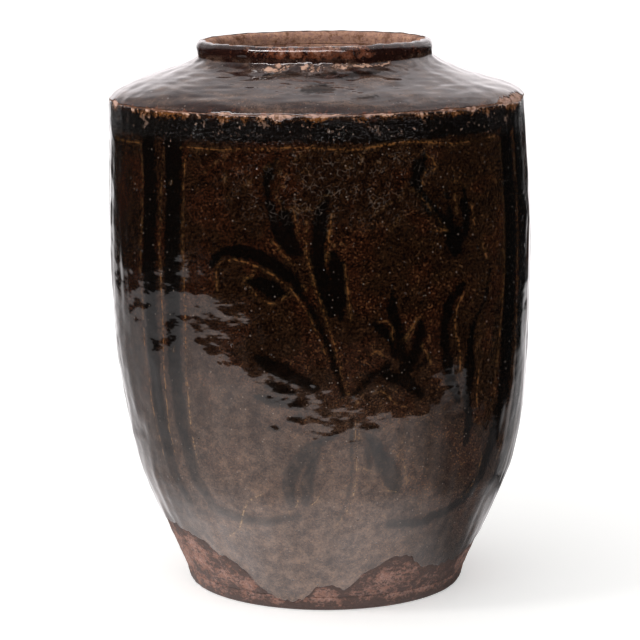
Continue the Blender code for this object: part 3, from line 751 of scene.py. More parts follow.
def iron_glaze(name, colours, tones, blackness, dimples, sparkle):
    """Iron-bearing stoneware glaze, poured over raw clay and fired glossy. The eye sees a near-black
    glass full of golden brown crystals, amber where it is thin over an edge, with black brushed slip
    under it, pits, grit, crazing, painted glints and, low down, a dull tan haze that is partly a
    painted reflection of the lit floor; on the shoulder black is also painted in pools as a painted
    dark reflection. The tones are those of thick, brown, red and thin glaze. Blackness holds the
    crystals back, dimples is the height of the soft unevenness in fifths of a millimetre, and sparkle
    is how much light the crystals throw back."""
    thick_tone, brown_tone, red_tone, thin_tone = tones
    material, node, place = new_material(name)
    # Clouds and clusters of crystals, and the crystals themselves, which are drawn about three times as
    # coarse as real ones, so that the picture shows them
    clouds = node("TexNoise", {"Vector": place, "Scale": per(31.25), "Detail": 2})
    mottle = node("TexNoise", {"Vector": place, "Scale": per(8.3333), "Detail": 4, "Roughness": 0.75})
    fine = node("TexNoise", {"Vector": place, "Scale": per(2.3256), "Detail": 2, "Roughness": 0.7})
    grain = node("TexVoronoi", {"Vector": place, "Scale": per(1)}, out="Color")
    grain = node("SeparateColor", {0: grain})
    # The glaze is richer in crystals towards the pot's right side, which stood hotter in the kiln
    right = node("SeparateXYZ", {0: place})
    crystals = -0.05 - blackness
    for layer, share in ((right, 0.24), (grain, 0.38), (fine, 0.18), (mottle, 0.3), (clouds, 0.2)):
        crystals = node("Math", {0: layer, 1: share, 2: crystals}, operation="MULTIPLY_ADD")
    brown = node("MapRange", {0: crystals, 1: 0.4, 2: 0.72})
    gold = node("MapRange", {0: crystals, 1: 0.65, 2: 0.84, 3: 0.0, 4: 0.55})
    red = node("MapRange", {0: clouds, 1: 0.46, 2: 0.62}, interpolation_type="SMOOTHSTEP")
    warm = node("Mix", {0: red, 6: brown_tone, 7: red_tone}, **OF_COLOURS)
    field = node("Mix", {0: brown, 6: thick_tone, 7: warm}, **OF_COLOURS)
    field = node("Mix", {0: gold, 6: field, 7: colours.glaze_gold}, **OF_COLOURS)

    # The dull haze low on the wall, patchy and flecked, and in streaks on the shoulder. Its pale colour is
    # partly the glaze's own dullness and partly a painted reflection of the lit floor, and of the bright sky
    # on the shoulder.
    haze = node("Attribute", attribute_name="haze", out="Fac")
    patchy = node("MapRange", {0: mottle, 1: 0.4, 2: 0.6, 3: 0.75, 4: 1.2})
    haze = node("Math", {0: haze, 1: patchy}, operation="MULTIPLY", use_clamp=True)
    soft = mottle
    for layer, share in ((clouds, 0.3), (grain, 0.16)):
        soft = node("Math", {0: layer, 1: share, 2: soft}, operation="MULTIPLY_ADD")
    soft = node("MapRange", {0: soft, 1: 0.55, 2: 0.93})
    dull = node("Mix", {0: soft, 6: colours.haze_dark, 7: colours.haze_light}, **OF_COLOURS)
    flecks = node("MapRange", {0: crystals, 1: 0.6, 2: 0.77, 3: 0.0, 4: 0.6})
    dull = node("Mix", {0: flecks, 6: dull, 7: colours.glaze_gold}, **OF_COLOURS)
    field = node("Mix", {0: haze, 6: field, 7: dull}, **OF_COLOURS)

    # Black slip in the strokes, with ragged edges, fainter under the haze, which is partly a painted
    # reflection. On the shoulder the same black is painted into the pools as a painted dark reflection.
    ink = node("Attribute", attribute_name="ink", out="Fac")
    ragged = node("Math", {0: mottle, 1: 16.0, 2: ink}, operation="MULTIPLY_ADD")
    inked = node("MapRange", {0: ragged, 1: 6.6, 2: 9.6, 3: 0.0, 4: 0.95}, interpolation_type="SMOOTHSTEP")
    faint = node("MapRange", {0: haze, 1: 0.0, 2: 0.4, 3: 1.0, 4: 0.62})
    inked = node("Math", {0: inked, 1: faint}, operation="MULTIPLY")
    surface = node("Mix", {0: inked, 6: field, 7: colours.slip_black}, **OF_COLOURS)

    # Amber lines, and pale scores and painted glints: a core that breaks off here and there, with a soft glow
    # beside it
    away = node("Attribute", attribute_name="line", out="Fac")
    away = node("Math", {0: away}, operation="ABSOLUTE")
    half = node("Attribute", attribute_name="line_half", out="Fac")
    pale = node("Attribute", attribute_name="line_pale", out="Fac")
    inside = node("Math", {0: half, 1: away}, operation="SUBTRACT")
    broken = node("Math", {0: mottle, 1: fine}, operation="ADD")
    broken = node("MapRange", {0: broken, 1: 0.95, 2: 1.16, 3: 0.03, 4: 0.72})
    core = node("MapRange", {0: inside, 1: 0.15, 2: 0.9}, interpolation_type="SMOOTHSTEP")
    core = node("Math", {0: core, 1: broken}, operation="MULTIPLY")
    glow = node("MapRange", {0: inside, 1: -2.6, 2: 0.4, 3: 0.0, 4: 0.24}, interpolation_type="SMOOTHSTEP")
    glow = node("Math", {0: glow, 1: broken}, operation="MULTIPLY")
    surface = node("Mix", {0: glow, 6: surface, 7: colours.glaze_gold}, **OF_COLOURS)
    # Under the haze the lines turn tan, partly as a painted reflection of the lit floor
    hazy = node("MapRange", {0: haze, 1: 0.05, 2: 0.4})
    tone = node("Mix", {0: hazy, 6: colours.line_amber, 7: colours.line_tan_haze_and_sheen}, **OF_COLOURS)
    tone = node("Mix", {0: pale, 6: tone, 7: colours.score_and_glint}, **OF_COLOURS)
    surface = node("Mix", {0: core, 6: surface, 7: tone}, **OF_COLOURS)

    # Glaze that ran thin over an edge, in patches
    thin = node("Attribute", attribute_name="thin", out="Fac")
    some = node("MapRange", {0: thin, 1: 0.0, 2: 0.15})
    for layer, share in ((grain, 0.5), (mottle, 6.0)):
        thin = node("Math", {0: layer, 1: share, 2: thin}, operation="MULTIPLY_ADD")
    thin = node("MapRange", {0: thin, 1: 3.7, 2: 4.6, 3: 0.0, 4: 0.8})
    thin = node("Math", {0: thin, 1: some}, operation="MULTIPLY")
    surface = node("Mix", {0: thin, 6: surface, 7: thin_tone}, **OF_COLOURS)

    # Crazing: a net of fine cracks, bent by noise so that no cell has straight sides
    bent = node("TexNoise", {"Vector": place, "Scale": per(6.25), "Detail": 2}, out=1)
    bent = node("VectorMath", {0: bent, 1: (0.007, 0.007, 0.007), 2: place}, operation="MULTIPLY_ADD")
    cracks = node("TexVoronoi", {"Vector": bent, "Scale": per(4.7619)}, feature="DISTANCE_TO_EDGE")
    craze = node("Attribute", attribute_name="craze", out="Fac")
    crack = node("MapRange", {0: cracks, 1: 0.055, 2: 0.0, 3: 0.0, 4: 0.5})
    some = node("MapRange", {0: mottle, 1: 0.48, 2: 0.6})
    crack = node("Math", {0: crack, 1: some}, operation="MULTIPLY")
    crack = node("Math", {0: crack, 1: craze}, operation="MULTIPLY")
    surface = node("Mix", {0: crack, 6: surface, 7: colours.score_and_glint}, **OF_COLOURS)

    # Tan grit that stands in the glaze, more of it where the attribute says so, and black pits
    cells = node("TexVoronoi", {"Vector": bent, "Scale": per(3.3333)}, out=None)
    choice = node("SeparateColor", {0: cells.outputs["Color"]}, out=None)
    near = cells.outputs["Distance"]
    grit = node("Attribute", attribute_name="grit", out="Fac")
    rare = node("Math", {0: grit, 1: 0.08, 2: choice.outputs[0]}, operation="MULTIPLY_ADD")
    size = node("MapRange", {0: rare, 1: 0.965, 2: 1.08, 3: 0.0, 4: 0.34})
    speck = node("Math", {0: size, 1: near}, operation="SUBTRACT")
    speck = node("MapRange", {0: speck, 1: 0.0, 2: 0.3, 3: 0.0, 4: 0.6})
    smudge = node("Math", {0: mottle, 1: grit}, operation="MULTIPLY")
    smudge = node("MapRange", {0: smudge, 1: 0.76, 2: 0.86, 3: 0.0, 4: 0.2})
    speck = node("Math", {0: speck, 1: smudge}, operation="MAXIMUM")
    surface = node("Mix", {0: speck, 6: surface, 7: colours.clay_tan}, **OF_COLOURS)
    size = node("MapRange", {0: choice.outputs[1], 1: 0.972, 2: 0.99, 3: 0.0, 4: 0.3})
    pit = node("Math", {0: size, 1: near}, operation="SUBTRACT")
    pit = node("MapRange", {0: pit, 1: 0.0, 2: 0.12})
    surface = node("Mix", {0: pit, 6: surface, 7: colours.slip_black}, **OF_COLOURS)

    # Painted glints: pale specks in the colour that stand in for light caught by pinholes, drawn as coarse as
    # one picture point
    glint_specks = node("TexVoronoi", {"Vector": place, "Scale": per(1.92308)}, out=None)
    chosen = node("SeparateColor", {0: glint_specks.outputs["Color"]}, out=2)
    size = node("MapRange", {0: chosen, 1: 0.93, 2: 1.0, 3: 0.0, 4: 0.42})
    painted_glint = node("Math", {0: size, 1: glint_specks.outputs["Distance"]}, operation="SUBTRACT")
    painted_glint = node("MapRange", {0: painted_glint, 1: 0.0, 2: 0.2, 3: 0.0, 4: 0.6})
    surface = node("Mix", {0: painted_glint, 6: surface, 7: colours.score_and_glint}, **OF_COLOURS)

    # Places worn through to the clay
    bare = node("Attribute", attribute_name="bare", out="Fac")
    worn = bare
    for layer, share in ((grain, 0.6), (mottle, 7.0)):
        worn = node("Math", {0: layer, 1: share, 2: worn}, operation="MULTIPLY_ADD")
    worn = node("MapRange", {0: worn, 1: 4.4, 2: 4.8, 3: 0.0, 4: 0.95})
    some = node("MapRange", {0: bare, 1: 0.0, 2: 0.12})
    worn = node("Math", {0: worn, 1: some}, operation="MULTIPLY")
    share = node("MapRange", {0: mottle, 1: 0.42, 2: 0.58})
    clay = node("Mix", {0: share, 6: colours.clay_toast, 7: colours.clay_tan}, **OF_COLOURS)
    surface = node("Mix", {0: worn, 6: surface, 7: clay}, **OF_COLOURS)

    # The glassy coat: duller over lines and grit, faint where the glaze is sunk, and gone where it is
    # worn through. Under it the crystals throw light back, and the slip doesn't.
    gloss = node("MapRange", {0: clouds, 1: 0.35, 2: 0.7, 3: 0.02, 4: 0.05})
    for layer, share in ((core, 0.12), (speck, 0.3)):
        gloss = node("Math", {0: layer, 1: share, 2: gloss}, operation="MULTIPLY_ADD")
    glassy = node("Attribute", attribute_name="sunk", out="Fac")
    glassy = node("Math", {0: glassy, 1: -0.75, 2: 1.0}, operation="MULTIPLY_ADD")
    glassy = node("Math", {0: glassy, 1: worn}, operation="SUBTRACT", use_clamp=True)
    rough = node("Mix", {0: worn, 2: 0.12, 3: 0.7})
    open_field = node("MapRange", {0: inked, 1: 0.0, 2: 1.0, 3: sparkle, 4: 0.03})
    glint_tone = node("Mix", {0: soft, 6: colours.glint_dark, 7: colours.glint_light}, **OF_COLOURS)

    # Relief: soft dimples twice as wide as tall, grit and lines that stand up, pits and wear that lie
    # deeper
    squat = node("Mapping", {"Vector": place, "Scale": (1, 1, 2.0)})
    dimple = node("TexNoise", {"Vector": squat, "Scale": per(9.0909), "Detail": 1, "Roughness": 0.4})
    relief = node("Math", {0: dimple, 1: dimples}, operation="MULTIPLY")
    gritty = node("Math", {0: grit, 1: grit}, operation="MULTIPLY")
    gritty = node("Math", {0: gritty, 1: 0.3, 2: 0.04}, operation="MULTIPLY_ADD")
    for layer, share in ((grain, gritty), (pit, -1.2), (speck, 0.5), (core, 0.2), (worn, -0.6)):
        relief = node("Math", {0: layer, 1: share, 2: relief}, operation="MULTIPLY_ADD")
    bump = node("Bump", {"Height": relief, "Distance": 0.2 * MM, "Strength": 1.0})
    inputs = {
        "Base Color": surface,
        "Roughness": rough,
        "IOR": 1.5,
        "Specular IOR Level": open_field,
        "Specular Tint": glint_tone,
        "Coat Weight": glassy,
        "Coat Roughness": gloss,
        "Coat IOR": 1.62,
        "Coat Normal": bump,
        "Normal": bump,
    }
    node("OutputMaterial", {"Surface": node("BsdfPrincipled", inputs)}, out=None)
    return material


def fired_clay(name, light, middle, dark, dark_share, relief_height):
    """Coarse red stoneware clay, thrown and fired bare. The eye sees a dry pink skin with toasted grey
    brown patches, pale and dark grit, and faint turning marks. The dark share brings more toasted
    patches, or fewer below nought."""
    material, node, place = new_material(name)
    # Patches and blotches wider than tall, and grit that is drawn about twice as coarse as the real one
    flat = node("Mapping", {"Vector": place, "Scale": (1, 1, 1.7)})
    patches = node("TexNoise", {"Vector": flat, "Scale": per(20.8333), "Detail": 4, "Roughness": 0.65})
    blotch = node("TexNoise", {"Vector": flat, "Scale": per(4.7619), "Detail": 4, "Roughness": 0.8})
    grit = node("TexVoronoi", {"Vector": place, "Scale": per(1.42857)}, out="Color")
    grit = node("SeparateColor", {0: grit})
    warm = node("MapRange", {0: blotch, 1: 0.43, 2: 0.56})
    skin = node("Mix", {0: warm, 6: middle, 7: light}, **OF_COLOURS)
    toast = dark_share - 2.05
    for layer, share in ((blotch, 2.5), (grit, 0.4), (patches, 2.2)):
        toast = node("Math", {0: layer, 1: share, 2: toast}, operation="MULTIPLY_ADD")
    # Stains darken the clay, and on the wall also painted shade at its right side
    stain = node("Attribute", attribute_name="stain", out="Fac")
    toast = node("Math", {0: toast, 1: stain}, operation="ADD")
    toast = node("MapRange", {0: toast, 1: 0.4, 2: 0.84, 3: 0.0, 4: 0.92})
    dark_grit = node("MapRange", {0: grit, 1: 0.16, 2: 0.08, 3: 0.0, 4: 0.5})
    for share in (toast, dark_grit):
        skin = node("Mix", {0: share, 6: skin, 7: dark}, **OF_COLOURS)
    dull = node("MapRange", {0: toast, 1: 0.0, 2: 1.0, 3: 0.85, 4: 0.5})
    # Turning marks, drawn out round the pot
    round_pot = node("Mapping", {"Vector": place, "Scale": (0.08, 0.08, 1)})
    rings = node("TexNoise", {"Vector": round_pot, "Scale": per(1.6129), "Detail": 2})
    relief = blotch
    for layer, share in ((grit, 0.1), (rings, 0.3)):
        relief = node("Math", {0: layer, 1: share, 2: relief}, operation="MULTIPLY_ADD")
    bump = node("Bump", {"Height": relief, "Distance": relief_height, "Strength": 1.0})
    inputs = {"Base Color": skin, "Roughness": dull, "Specular IOR Level": 0.25, "Normal": bump}
    node("OutputMaterial", {"Surface": node("BsdfPrincipled", inputs)}, out=None)
    return material


def lining_glaze(name, colours):
    """Thin brown glaze swilled round the inside and fired. The eye sees a dull gloss with paler rings
    where the fingers left ridges."""
    material, node, place = new_material(name)
    round_pot = node("Mapping", {"Vector": place, "Scale": (0.25, 0.25, 1)})
    rings = node("TexNoise", {"Vector": round_pot, "Scale": per(6.25), "Detail": 3})
    clouds = node("TexNoise", {"Vector": place, "Scale": per(16.6667), "Detail": 4})
    both = node("Math", {0: rings, 1: clouds}, operation="MULTIPLY")
    share = node("MapRange", {0: both, 1: 0.2, 2: 0.38})
    skin = node("Mix", {0: share, 6: colours.lining, 7: colours.clay_brown}, **OF_COLOURS)
    bump = node("Bump", {"Height": both, "Distance": 0.6 * MM, "Strength": 1.0})
    inputs = {"Base Color": skin, "Roughness": 0.28, "Normal": bump}
    node("OutputMaterial", {"Surface": node("BsdfPrincipled", inputs)}, out=None)
    return material


def coat_rows(count):
    """Shares of the way along a coat, with a few rows close together at each end to round it."""
    close = np.array([0, 0.0006, 0.0016, 0.0032, 0.0056])
    return np.concatenate([close, np.linspace(0.009, 0.991, count), 1 - close[::-1]])[:, None]


def coat_runs(outline, angle, low, high, share, full, back_count):
    """Face and back of a coat of glaze between two lengths along the clay's line. The face stands off the
    clay by the full height, and comes down to the back as a quarter round at either end. Both follow the
    waviness."""
    up = low + (high - low) * share
    end = np.clip(np.minimum(share, 1 - share) * (high - low) / COAT_ROUNDING, 0, 1)
    face = COAT_BACK + (full - COAT_BACK) * np.sqrt(1 - (1 - end) ** 2)
    down = low + (high - low) * (1 - np.linspace(0, 1, back_count)[1:-1])[:, None]
    return [
        outline.line.at(up, waviness(angle, up) + face),
        outline.line.at(down, waviness(angle, down) + COAT_BACK),
    ]


def clay_grain(angle, along, seed):
    """Roughness of bare clay in metres: bumps of 12 and 5 millimetres, held within a fifth of a
    millimetre."""
    rough = 0.08 * ripple(angle, along, 0.012, seed) + 0.05 * ripple(angle, along, 0.005, seed + 1, count=48)
    return np.clip(rough, -0.2, 0.2) * MM


def settings_of(context):
    """The colours that the panel shows, and the outline worked out from its sizes."""
    return context.scene.pot_colours, Outline(context.scene.pot_sizes)


class POT_OT_base_slab(bpy.types.Operator):
    """Add the turned slab of clay that the pot stands on"""

    bl_idname = "pot.base_slab"
    bl_label = "Base slab"

    def execute(self, context):
        """The underside runs out from the middle, slightly hollow, to a quarter round at the foot; the side
        follows the clay's line with its grain; the top runs back to the middle."""
        colours, outline = settings_of(context)
        s = outline.sizes
        angle = round_angles(240, 220)
        rounding = 2.5 * MM
        under = np.array([0, 0.15, 0.35, 0.55, 0.75, 0.9, 1])[:, None] * (s.foot_radius - rounding)
        share = under / s.foot_radius
        uneven = np.abs(0.12 * MM * ripple(angle, under, 0.01, 54)) * smooth(0.99, 0.9, share)
        turn = np.linspace(0, np.pi / 2, 7)[1:, None]
        foot_r = s.foot_radius - rounding + rounding * np.sin(turn)
        edge = 0.25 * MM * ripple(angle, 0, 0.02, 53) * smooth(0, 1, turn / 1.6)
        side = even_rows(rounding * 1.2, outline.slab_top - JOINT_GAP, 12, angle)
        top_z = s.base_thickness - JOINT_GAP
        runs = [
            (under, 0.6 * MM * smooth(0.97, 0.72, share) + uneven),
            (foot_r + edge, rounding - rounding * np.cos(turn)),
            outline.line.at(side, waviness(angle, side) + clay_grain(angle, side, 51)),
            ([[0.06]], [[top_z]]),
            ([[0.0]], [[top_z]]),
        ]
        tones = colours.clay_pink, colours.clay_rust, colours.clay_brown
        clay = fired_clay("Turned stoneware clay, foot", *tones, 0.04, 0.6 * MM)
        piece = make_piece("foot_slab", outline, angle, runs, ["base_disc"], clay)
        # The slab is darkest at its foot. The points in the middle of its faces count as height nought.
        height = np.concatenate([z + 0 * angle for _, z in runs])
        height = np.concatenate([[0.0], height[1:-1].ravel(), [0.0]])
        mark(piece, stain=0.45 * smooth(11 * MM, 2 * MM, height) + 0.12)
        return {"FINISHED"}


class POT_OT_clay_walls(bpy.types.Operator):
    """Add the lower bowl and the upper wall of thrown clay"""

    bl_idname = "pot.clay_walls"
    bl_label = "Clay walls"

    def execute(self, context):
        """The lower wall has close rows where its clay shows below the glaze, and wide ones behind the
        glaze."""
        colours, outline = settings_of(context)
        tones = colours.clay_pink, colours.clay_rust, colours.clay_brown
        pink = fired_clay("Thrown stoneware clay, lower wall", *tones, 0.0, 0.6 * MM)
        tones = colours.clay_tan, colours.clay_pink, colours.clay_brown
        plain = fired_clay("Thrown stoneware clay, upper wall", *tones, -0.1, 0.6 * MM)
        angle = round_angles(300, 240)
        seen = even_rows(outline.slab_top + JOINT_GAP, 0.075, 46, angle)
        hidden = even_rows(0.085, outline.joint - JOINT_GAP, 8, angle)
        self.wall(outline, angle, np.concatenate([seen, hidden]), "bowl_wall", "lower_wall", pink)
        angle = angle[:, ::4]
        up = even_rows(outline.joint + JOINT_GAP, outline.wall_top - JOINT_GAP, 24, angle)
        self.wall(outline, angle, up, "cylinder_wall", "upper_wall", plain)
        return {"FINISHED"}

    def wall(self, outline, angle, up, name, node_name, clay):
        """The wall goes up the clay's line on the outside, with its grain, and down the same line one
        wall thickness further in. It is stained along the hem of the glaze, darker towards its foot and
        beside the front, and darker at the right as painted shade."""
        outer_r, outer_z = outline.line.at(up, waviness(angle, up) + clay_grain(angle, up, 61))
        down = np.concatenate([up[::-3], up[:1]])
        inner_r, inner_z = outline.line.at(down, -outline.sizes.wall)
        runs = [(outer_r, outer_z), (inner_r, np.clip(inner_z, outline.sizes.base_thickness, None))]
        piece = make_piece(name, outline, angle, runs, [node_name], clay)
        degrees = np.degrees(angle)
        below = hem_height(degrees) - outer_z
        stain = 0.6 * np.exp(-np.abs(below) / (5.5 * MM)) + 0.14 * smooth(26 * MM, 12 * MM, outer_z) - 0.1
        stain = stain + 0.17 * smooth(18, 38, np.abs(degrees - 2))
        # Painted shade: the right side, where less light falls, is darker
        stain = stain + 0.12 * smooth(12, 28, degrees) * smooth(90, 70, degrees)
        mark(piece, stain=stain)


class POT_OT_shoulder_clay(bpy.types.Operator):
    """Add the clay of the shoulder, with its bare worn edge, the neck collar and the rolled lip"""

    bl_idname = "pot.shoulder_clay"
    bl_label = "Shoulder, neck and lip"

    def execute(self, context):
        """The shoulder's edge is of pale tan clay, and neck and lip are of browner clay."""
        colours, outline = settings_of(context)
        tones = colours.clay_tan, colours.clay_pink, colours.clay_toast
        self.shoulder(outline, fired_clay("Thrown stoneware clay, bare edge", *tones, -0.1, 0.5 * MM))
        tones = colours.clay_throat, colours.clay_rust, colours.clay_toast
        clay = fired_clay("Thrown stoneware clay, lip", *tones, -0.2, 0.5 * MM)
        self.collar(outline, clay)
        self.lip(outline, clay)
        return {"FINISHED"}

    def shoulder(self, outline, clay):
        """The outside follows the clay's line. Between the two coats of glaze it rises by most of their
        thickness, less a dent in each chip, so the worn edge lies nearly level with them. Inside it comes
        down the throat to the shelf, and back down one wall thickness further in."""
        s = outline.sizes
        angle = round_angles(420, 360)
        degrees = np.degrees(angle)
        low = outline.edge - bare_reach(degrees, 0)
        high = outline.edge + bare_reach(degrees, 1)
        shares = np.array([-0.02, 0.12, 0.25, 0.38, 0.5, 0.62, 0.75, 0.88, 1.02])[:, None]
        ring = low + (high - low) * shares
        start = outline.wall_top + JOINT_GAP
        end = outline.neck - JOINT_GAP
        rise = start + (low - BESIDE_RING - start) * np.array([0, 0.4, 0.8, 1])[:, None]
        slope = high + BESIDE_RING + (end - high - BESIDE_RING) * np.linspace(0, 1, 16)[:, None]
        up = np.concatenate([rise, ring, slope])
        ring_raised = 0 * ring + np.where((shares > 0) & (shares < 1), 1, 0.35)
        raised = np.concatenate([0 * rise, ring_raised, 0 * slope])
        width = np.clip((high - low) / (6 * MM), 0, 1)
        worn = (0.78 - 0.5 * width) * raised
        rough = clay_grain(angle, up, 71) + 0.14 * MM * raised * ripple(angle, up, 0.004, 73)
        outside = waviness(angle, up) + rough * np.where(raised > 0, 1, 0.5) + worn * MM
        throat = even_rows(outline.neck_inside + JOINT_GAP, outline.shelf, 5, angle)
        runs = [
            outline.line.at(up, outside),
            outline.line.at(throat, waviness(angle, throat) * 0.5),
            ([[s.mouth_radius + s.mouth_shelf]], [[outline.shelf_z]]),
            outline.line.at(even_rows(outline.neck - 0.004, outline.edge + 0.012, 5, angle), -s.wall),
            outline.line.at(start + 0 * angle, -s.wall),
        ]
        piece = make_piece("shoulder_clay", outline, angle, runs, ["shoulder"], clay)
        chipped = smooth(1.4 * MM, 3 * MM, high - low)
        front = about(degrees, -4, 34)
        stain = 0.66 * (1 - chipped) * (1 - front) + 0.12 * ripple(angle, 0, 0.008, 75)
        mark(piece, stain=stain + 0 * up)

    def collar(self, outline, clay):
        """A ring of clay that follows the clay's line outside and in, with its grain in the throat."""
        angle = round_angles(200, 160)
        up = even_rows(outline.neck + JOINT_GAP, outline.lip_foot - JOINT_GAP, 8, angle)
        down = even_rows(outline.lip_inside + JOINT_GAP, outline.neck_inside - JOINT_GAP, 8, angle)
        runs = [
            outline.line.at(up, waviness(angle, up)),
            outline.line.at(down, 0.5 * waviness(angle, down) + clay_grain(angle, down, 81)),
        ]
        piece = make_piece("neck_clay", outline, angle, runs, ["neck_collar"], clay)
        both = np.concatenate([up, down])
        stain = 0.28 * ripple(angle, both, 0.03, 83, 2.0) + 0.1 * ripple(angle, both, 0.009, 84)
        mark(piece, stain=stain)

    def lip(self, outline, clay):
        """A roll of clay along the line over the lip, closed straight across underneath."""
        angle = round_angles(300, 240)
        up = even_rows(outline.lip_foot + JOINT_GAP, outline.lip_inside - JOINT_GAP, 44, angle)
        fade = 1 - 0.5 * smooth(outline.crest, outline.lip_inside, up)
        rough = clay_grain(angle, up, 91) * 1.2
        runs = [outline.line.at(up, waviness(angle, up) * fade + rough)]
        piece = make_piece("lip_clay", outline, angle, runs, ["rim_roll"], clay)
        stain = 0.24 * ripple(angle, up, 0.03, 93, 2.0) + 0.1 * ripple(angle, up, 0.009, 94)
        mark(piece, stain=stain)


class POT_OT_wall_glaze(bpy.types.Operator):
    """Add the coat of iron glaze on the wall, with its painted panels"""

    bl_idname = "pot.wall_glaze"
    bl_label = "Wall glaze"

    def execute(self, context):
        """The coat runs from the ragged hem to the bare edge. Its face stands off the clay by the coat,
        more in the roll at the hem, over the slip and in the swellings, and less at the edge, where it
        ran thin. Numbers on its vertices tell the material where the strokes, lines, painted glints,
        crazing, grit, haze and wear are; the haze is partly a painted reflection of the lit floor."""
        colours, outline = settings_of(context)
        angle = round_angles(296, 170)
        degrees = np.degrees(angle)
        below_edge = outline.line.run < outline.edge
        low = np.interp(hem_height(degrees), outline.line.height[below_edge], outline.line.run[below_edge])
        high = outline.edge - bare_reach(degrees, 0)
        # Rows stand closest over the swellings in the middle of the wall
        share = np.interp(coat_rows(184), (0, 0.01, 0.3, 0.62, 0.99, 1), (0, 0.01, 0.33, 0.56, 0.99, 1))
        up = low + (high - low) * share
        height = outline.line.at(up)[1] / MM
        wide = degrees + 0 * up
        ink = painted(round_about(PLANT_STROKES) + list(FRAME_STROKES), wide, height)
        line, half = drawn(round_about(PLANT_LINES) + list(FRAME_LINES), wide, height)
        score_and_glint, score_and_glint_half = drawn(SCORES_AND_GLINTS, wide, height)
        use_score_and_glint = score_and_glint_half - np.abs(score_and_glint) > half - np.abs(line)

        thick = 0.1 * ripple(angle, up * 0.15, 0.016, 101) + 0.06 * ripple(angle, up, 0.03, 102)
        hem = up - low
        lumpy = (1 + ripple(angle, 0, 0.03, 103)) * 0.5
        roll = 0.28 * np.exp(-hem / (2.2 * MM)) + 0.18 * np.exp(-hem / (9 * MM)) * lumpy
        slip = 0.1 * smooth(-1, 1.5, ink)
        full = outline.sizes.coat + (thick + roll + slip + swollen(wide, height, angle)) * MM
        full = full - THIN_END * np.exp(-(high - up) / THIN_REACH)
        runs = coat_runs(outline, angle, low, high, share, full, 14)
        tones = colours.glaze_dark, colours.glaze_brown, colours.glaze_red, colours.glaze_amber
        glaze = iron_glaze("Iron glaze, poured and fired, painted wall", colours, tones, 0.0, 0.6, 0.85)
        piece = make_piece("painted_wall_glaze", outline, angle, runs, ["wall_glaze"], glaze)

        # Crazing shows in a band under the shoulder, in front and behind. The haze, partly a painted
        # reflection of the lit floor, is fainter at the left and faintest at the right, as painted shade
        # where the mirrored floor is dimmer and lies in the pot's shadow.
        band = smooth(300, 332, height) * smooth(372, 362, height)
        faint = (1 - 0.78 * smooth(4, 44, wide) * smooth(150, 110, wide)) * (1 - 0.4 * smooth(-42, -60, wide))
        ridge = 0.62 + 0.35 * ripple(angle, 0, 0.03, 105)
        mark(
            piece,
            ink=ink,
            line=np.where(use_score_and_glint, score_and_glint, line),
            line_half=np.where(use_score_and_glint, score_and_glint_half, half),
            line_pale=use_score_and_glint * 1.0,
            craze=0.6 * band * (about(degrees, 4, 26) + about(degrees, -150, 30)),
            grit=smooth(366, 380, height) + 0.3 * smooth(250, 330, height),
            haze=np.interp(height, (40, 90, 140, 200, 240), (0.5, 0.44, 0.3, 0.08, 0)) * faint,
            thin=ridge * np.exp(-((((high - up) / MM - 1) / 3.2) ** 2)),
            bare=0.45 * np.exp(-(high - up) / (0.8 * MM)),
        )
        return {"FINISHED"}


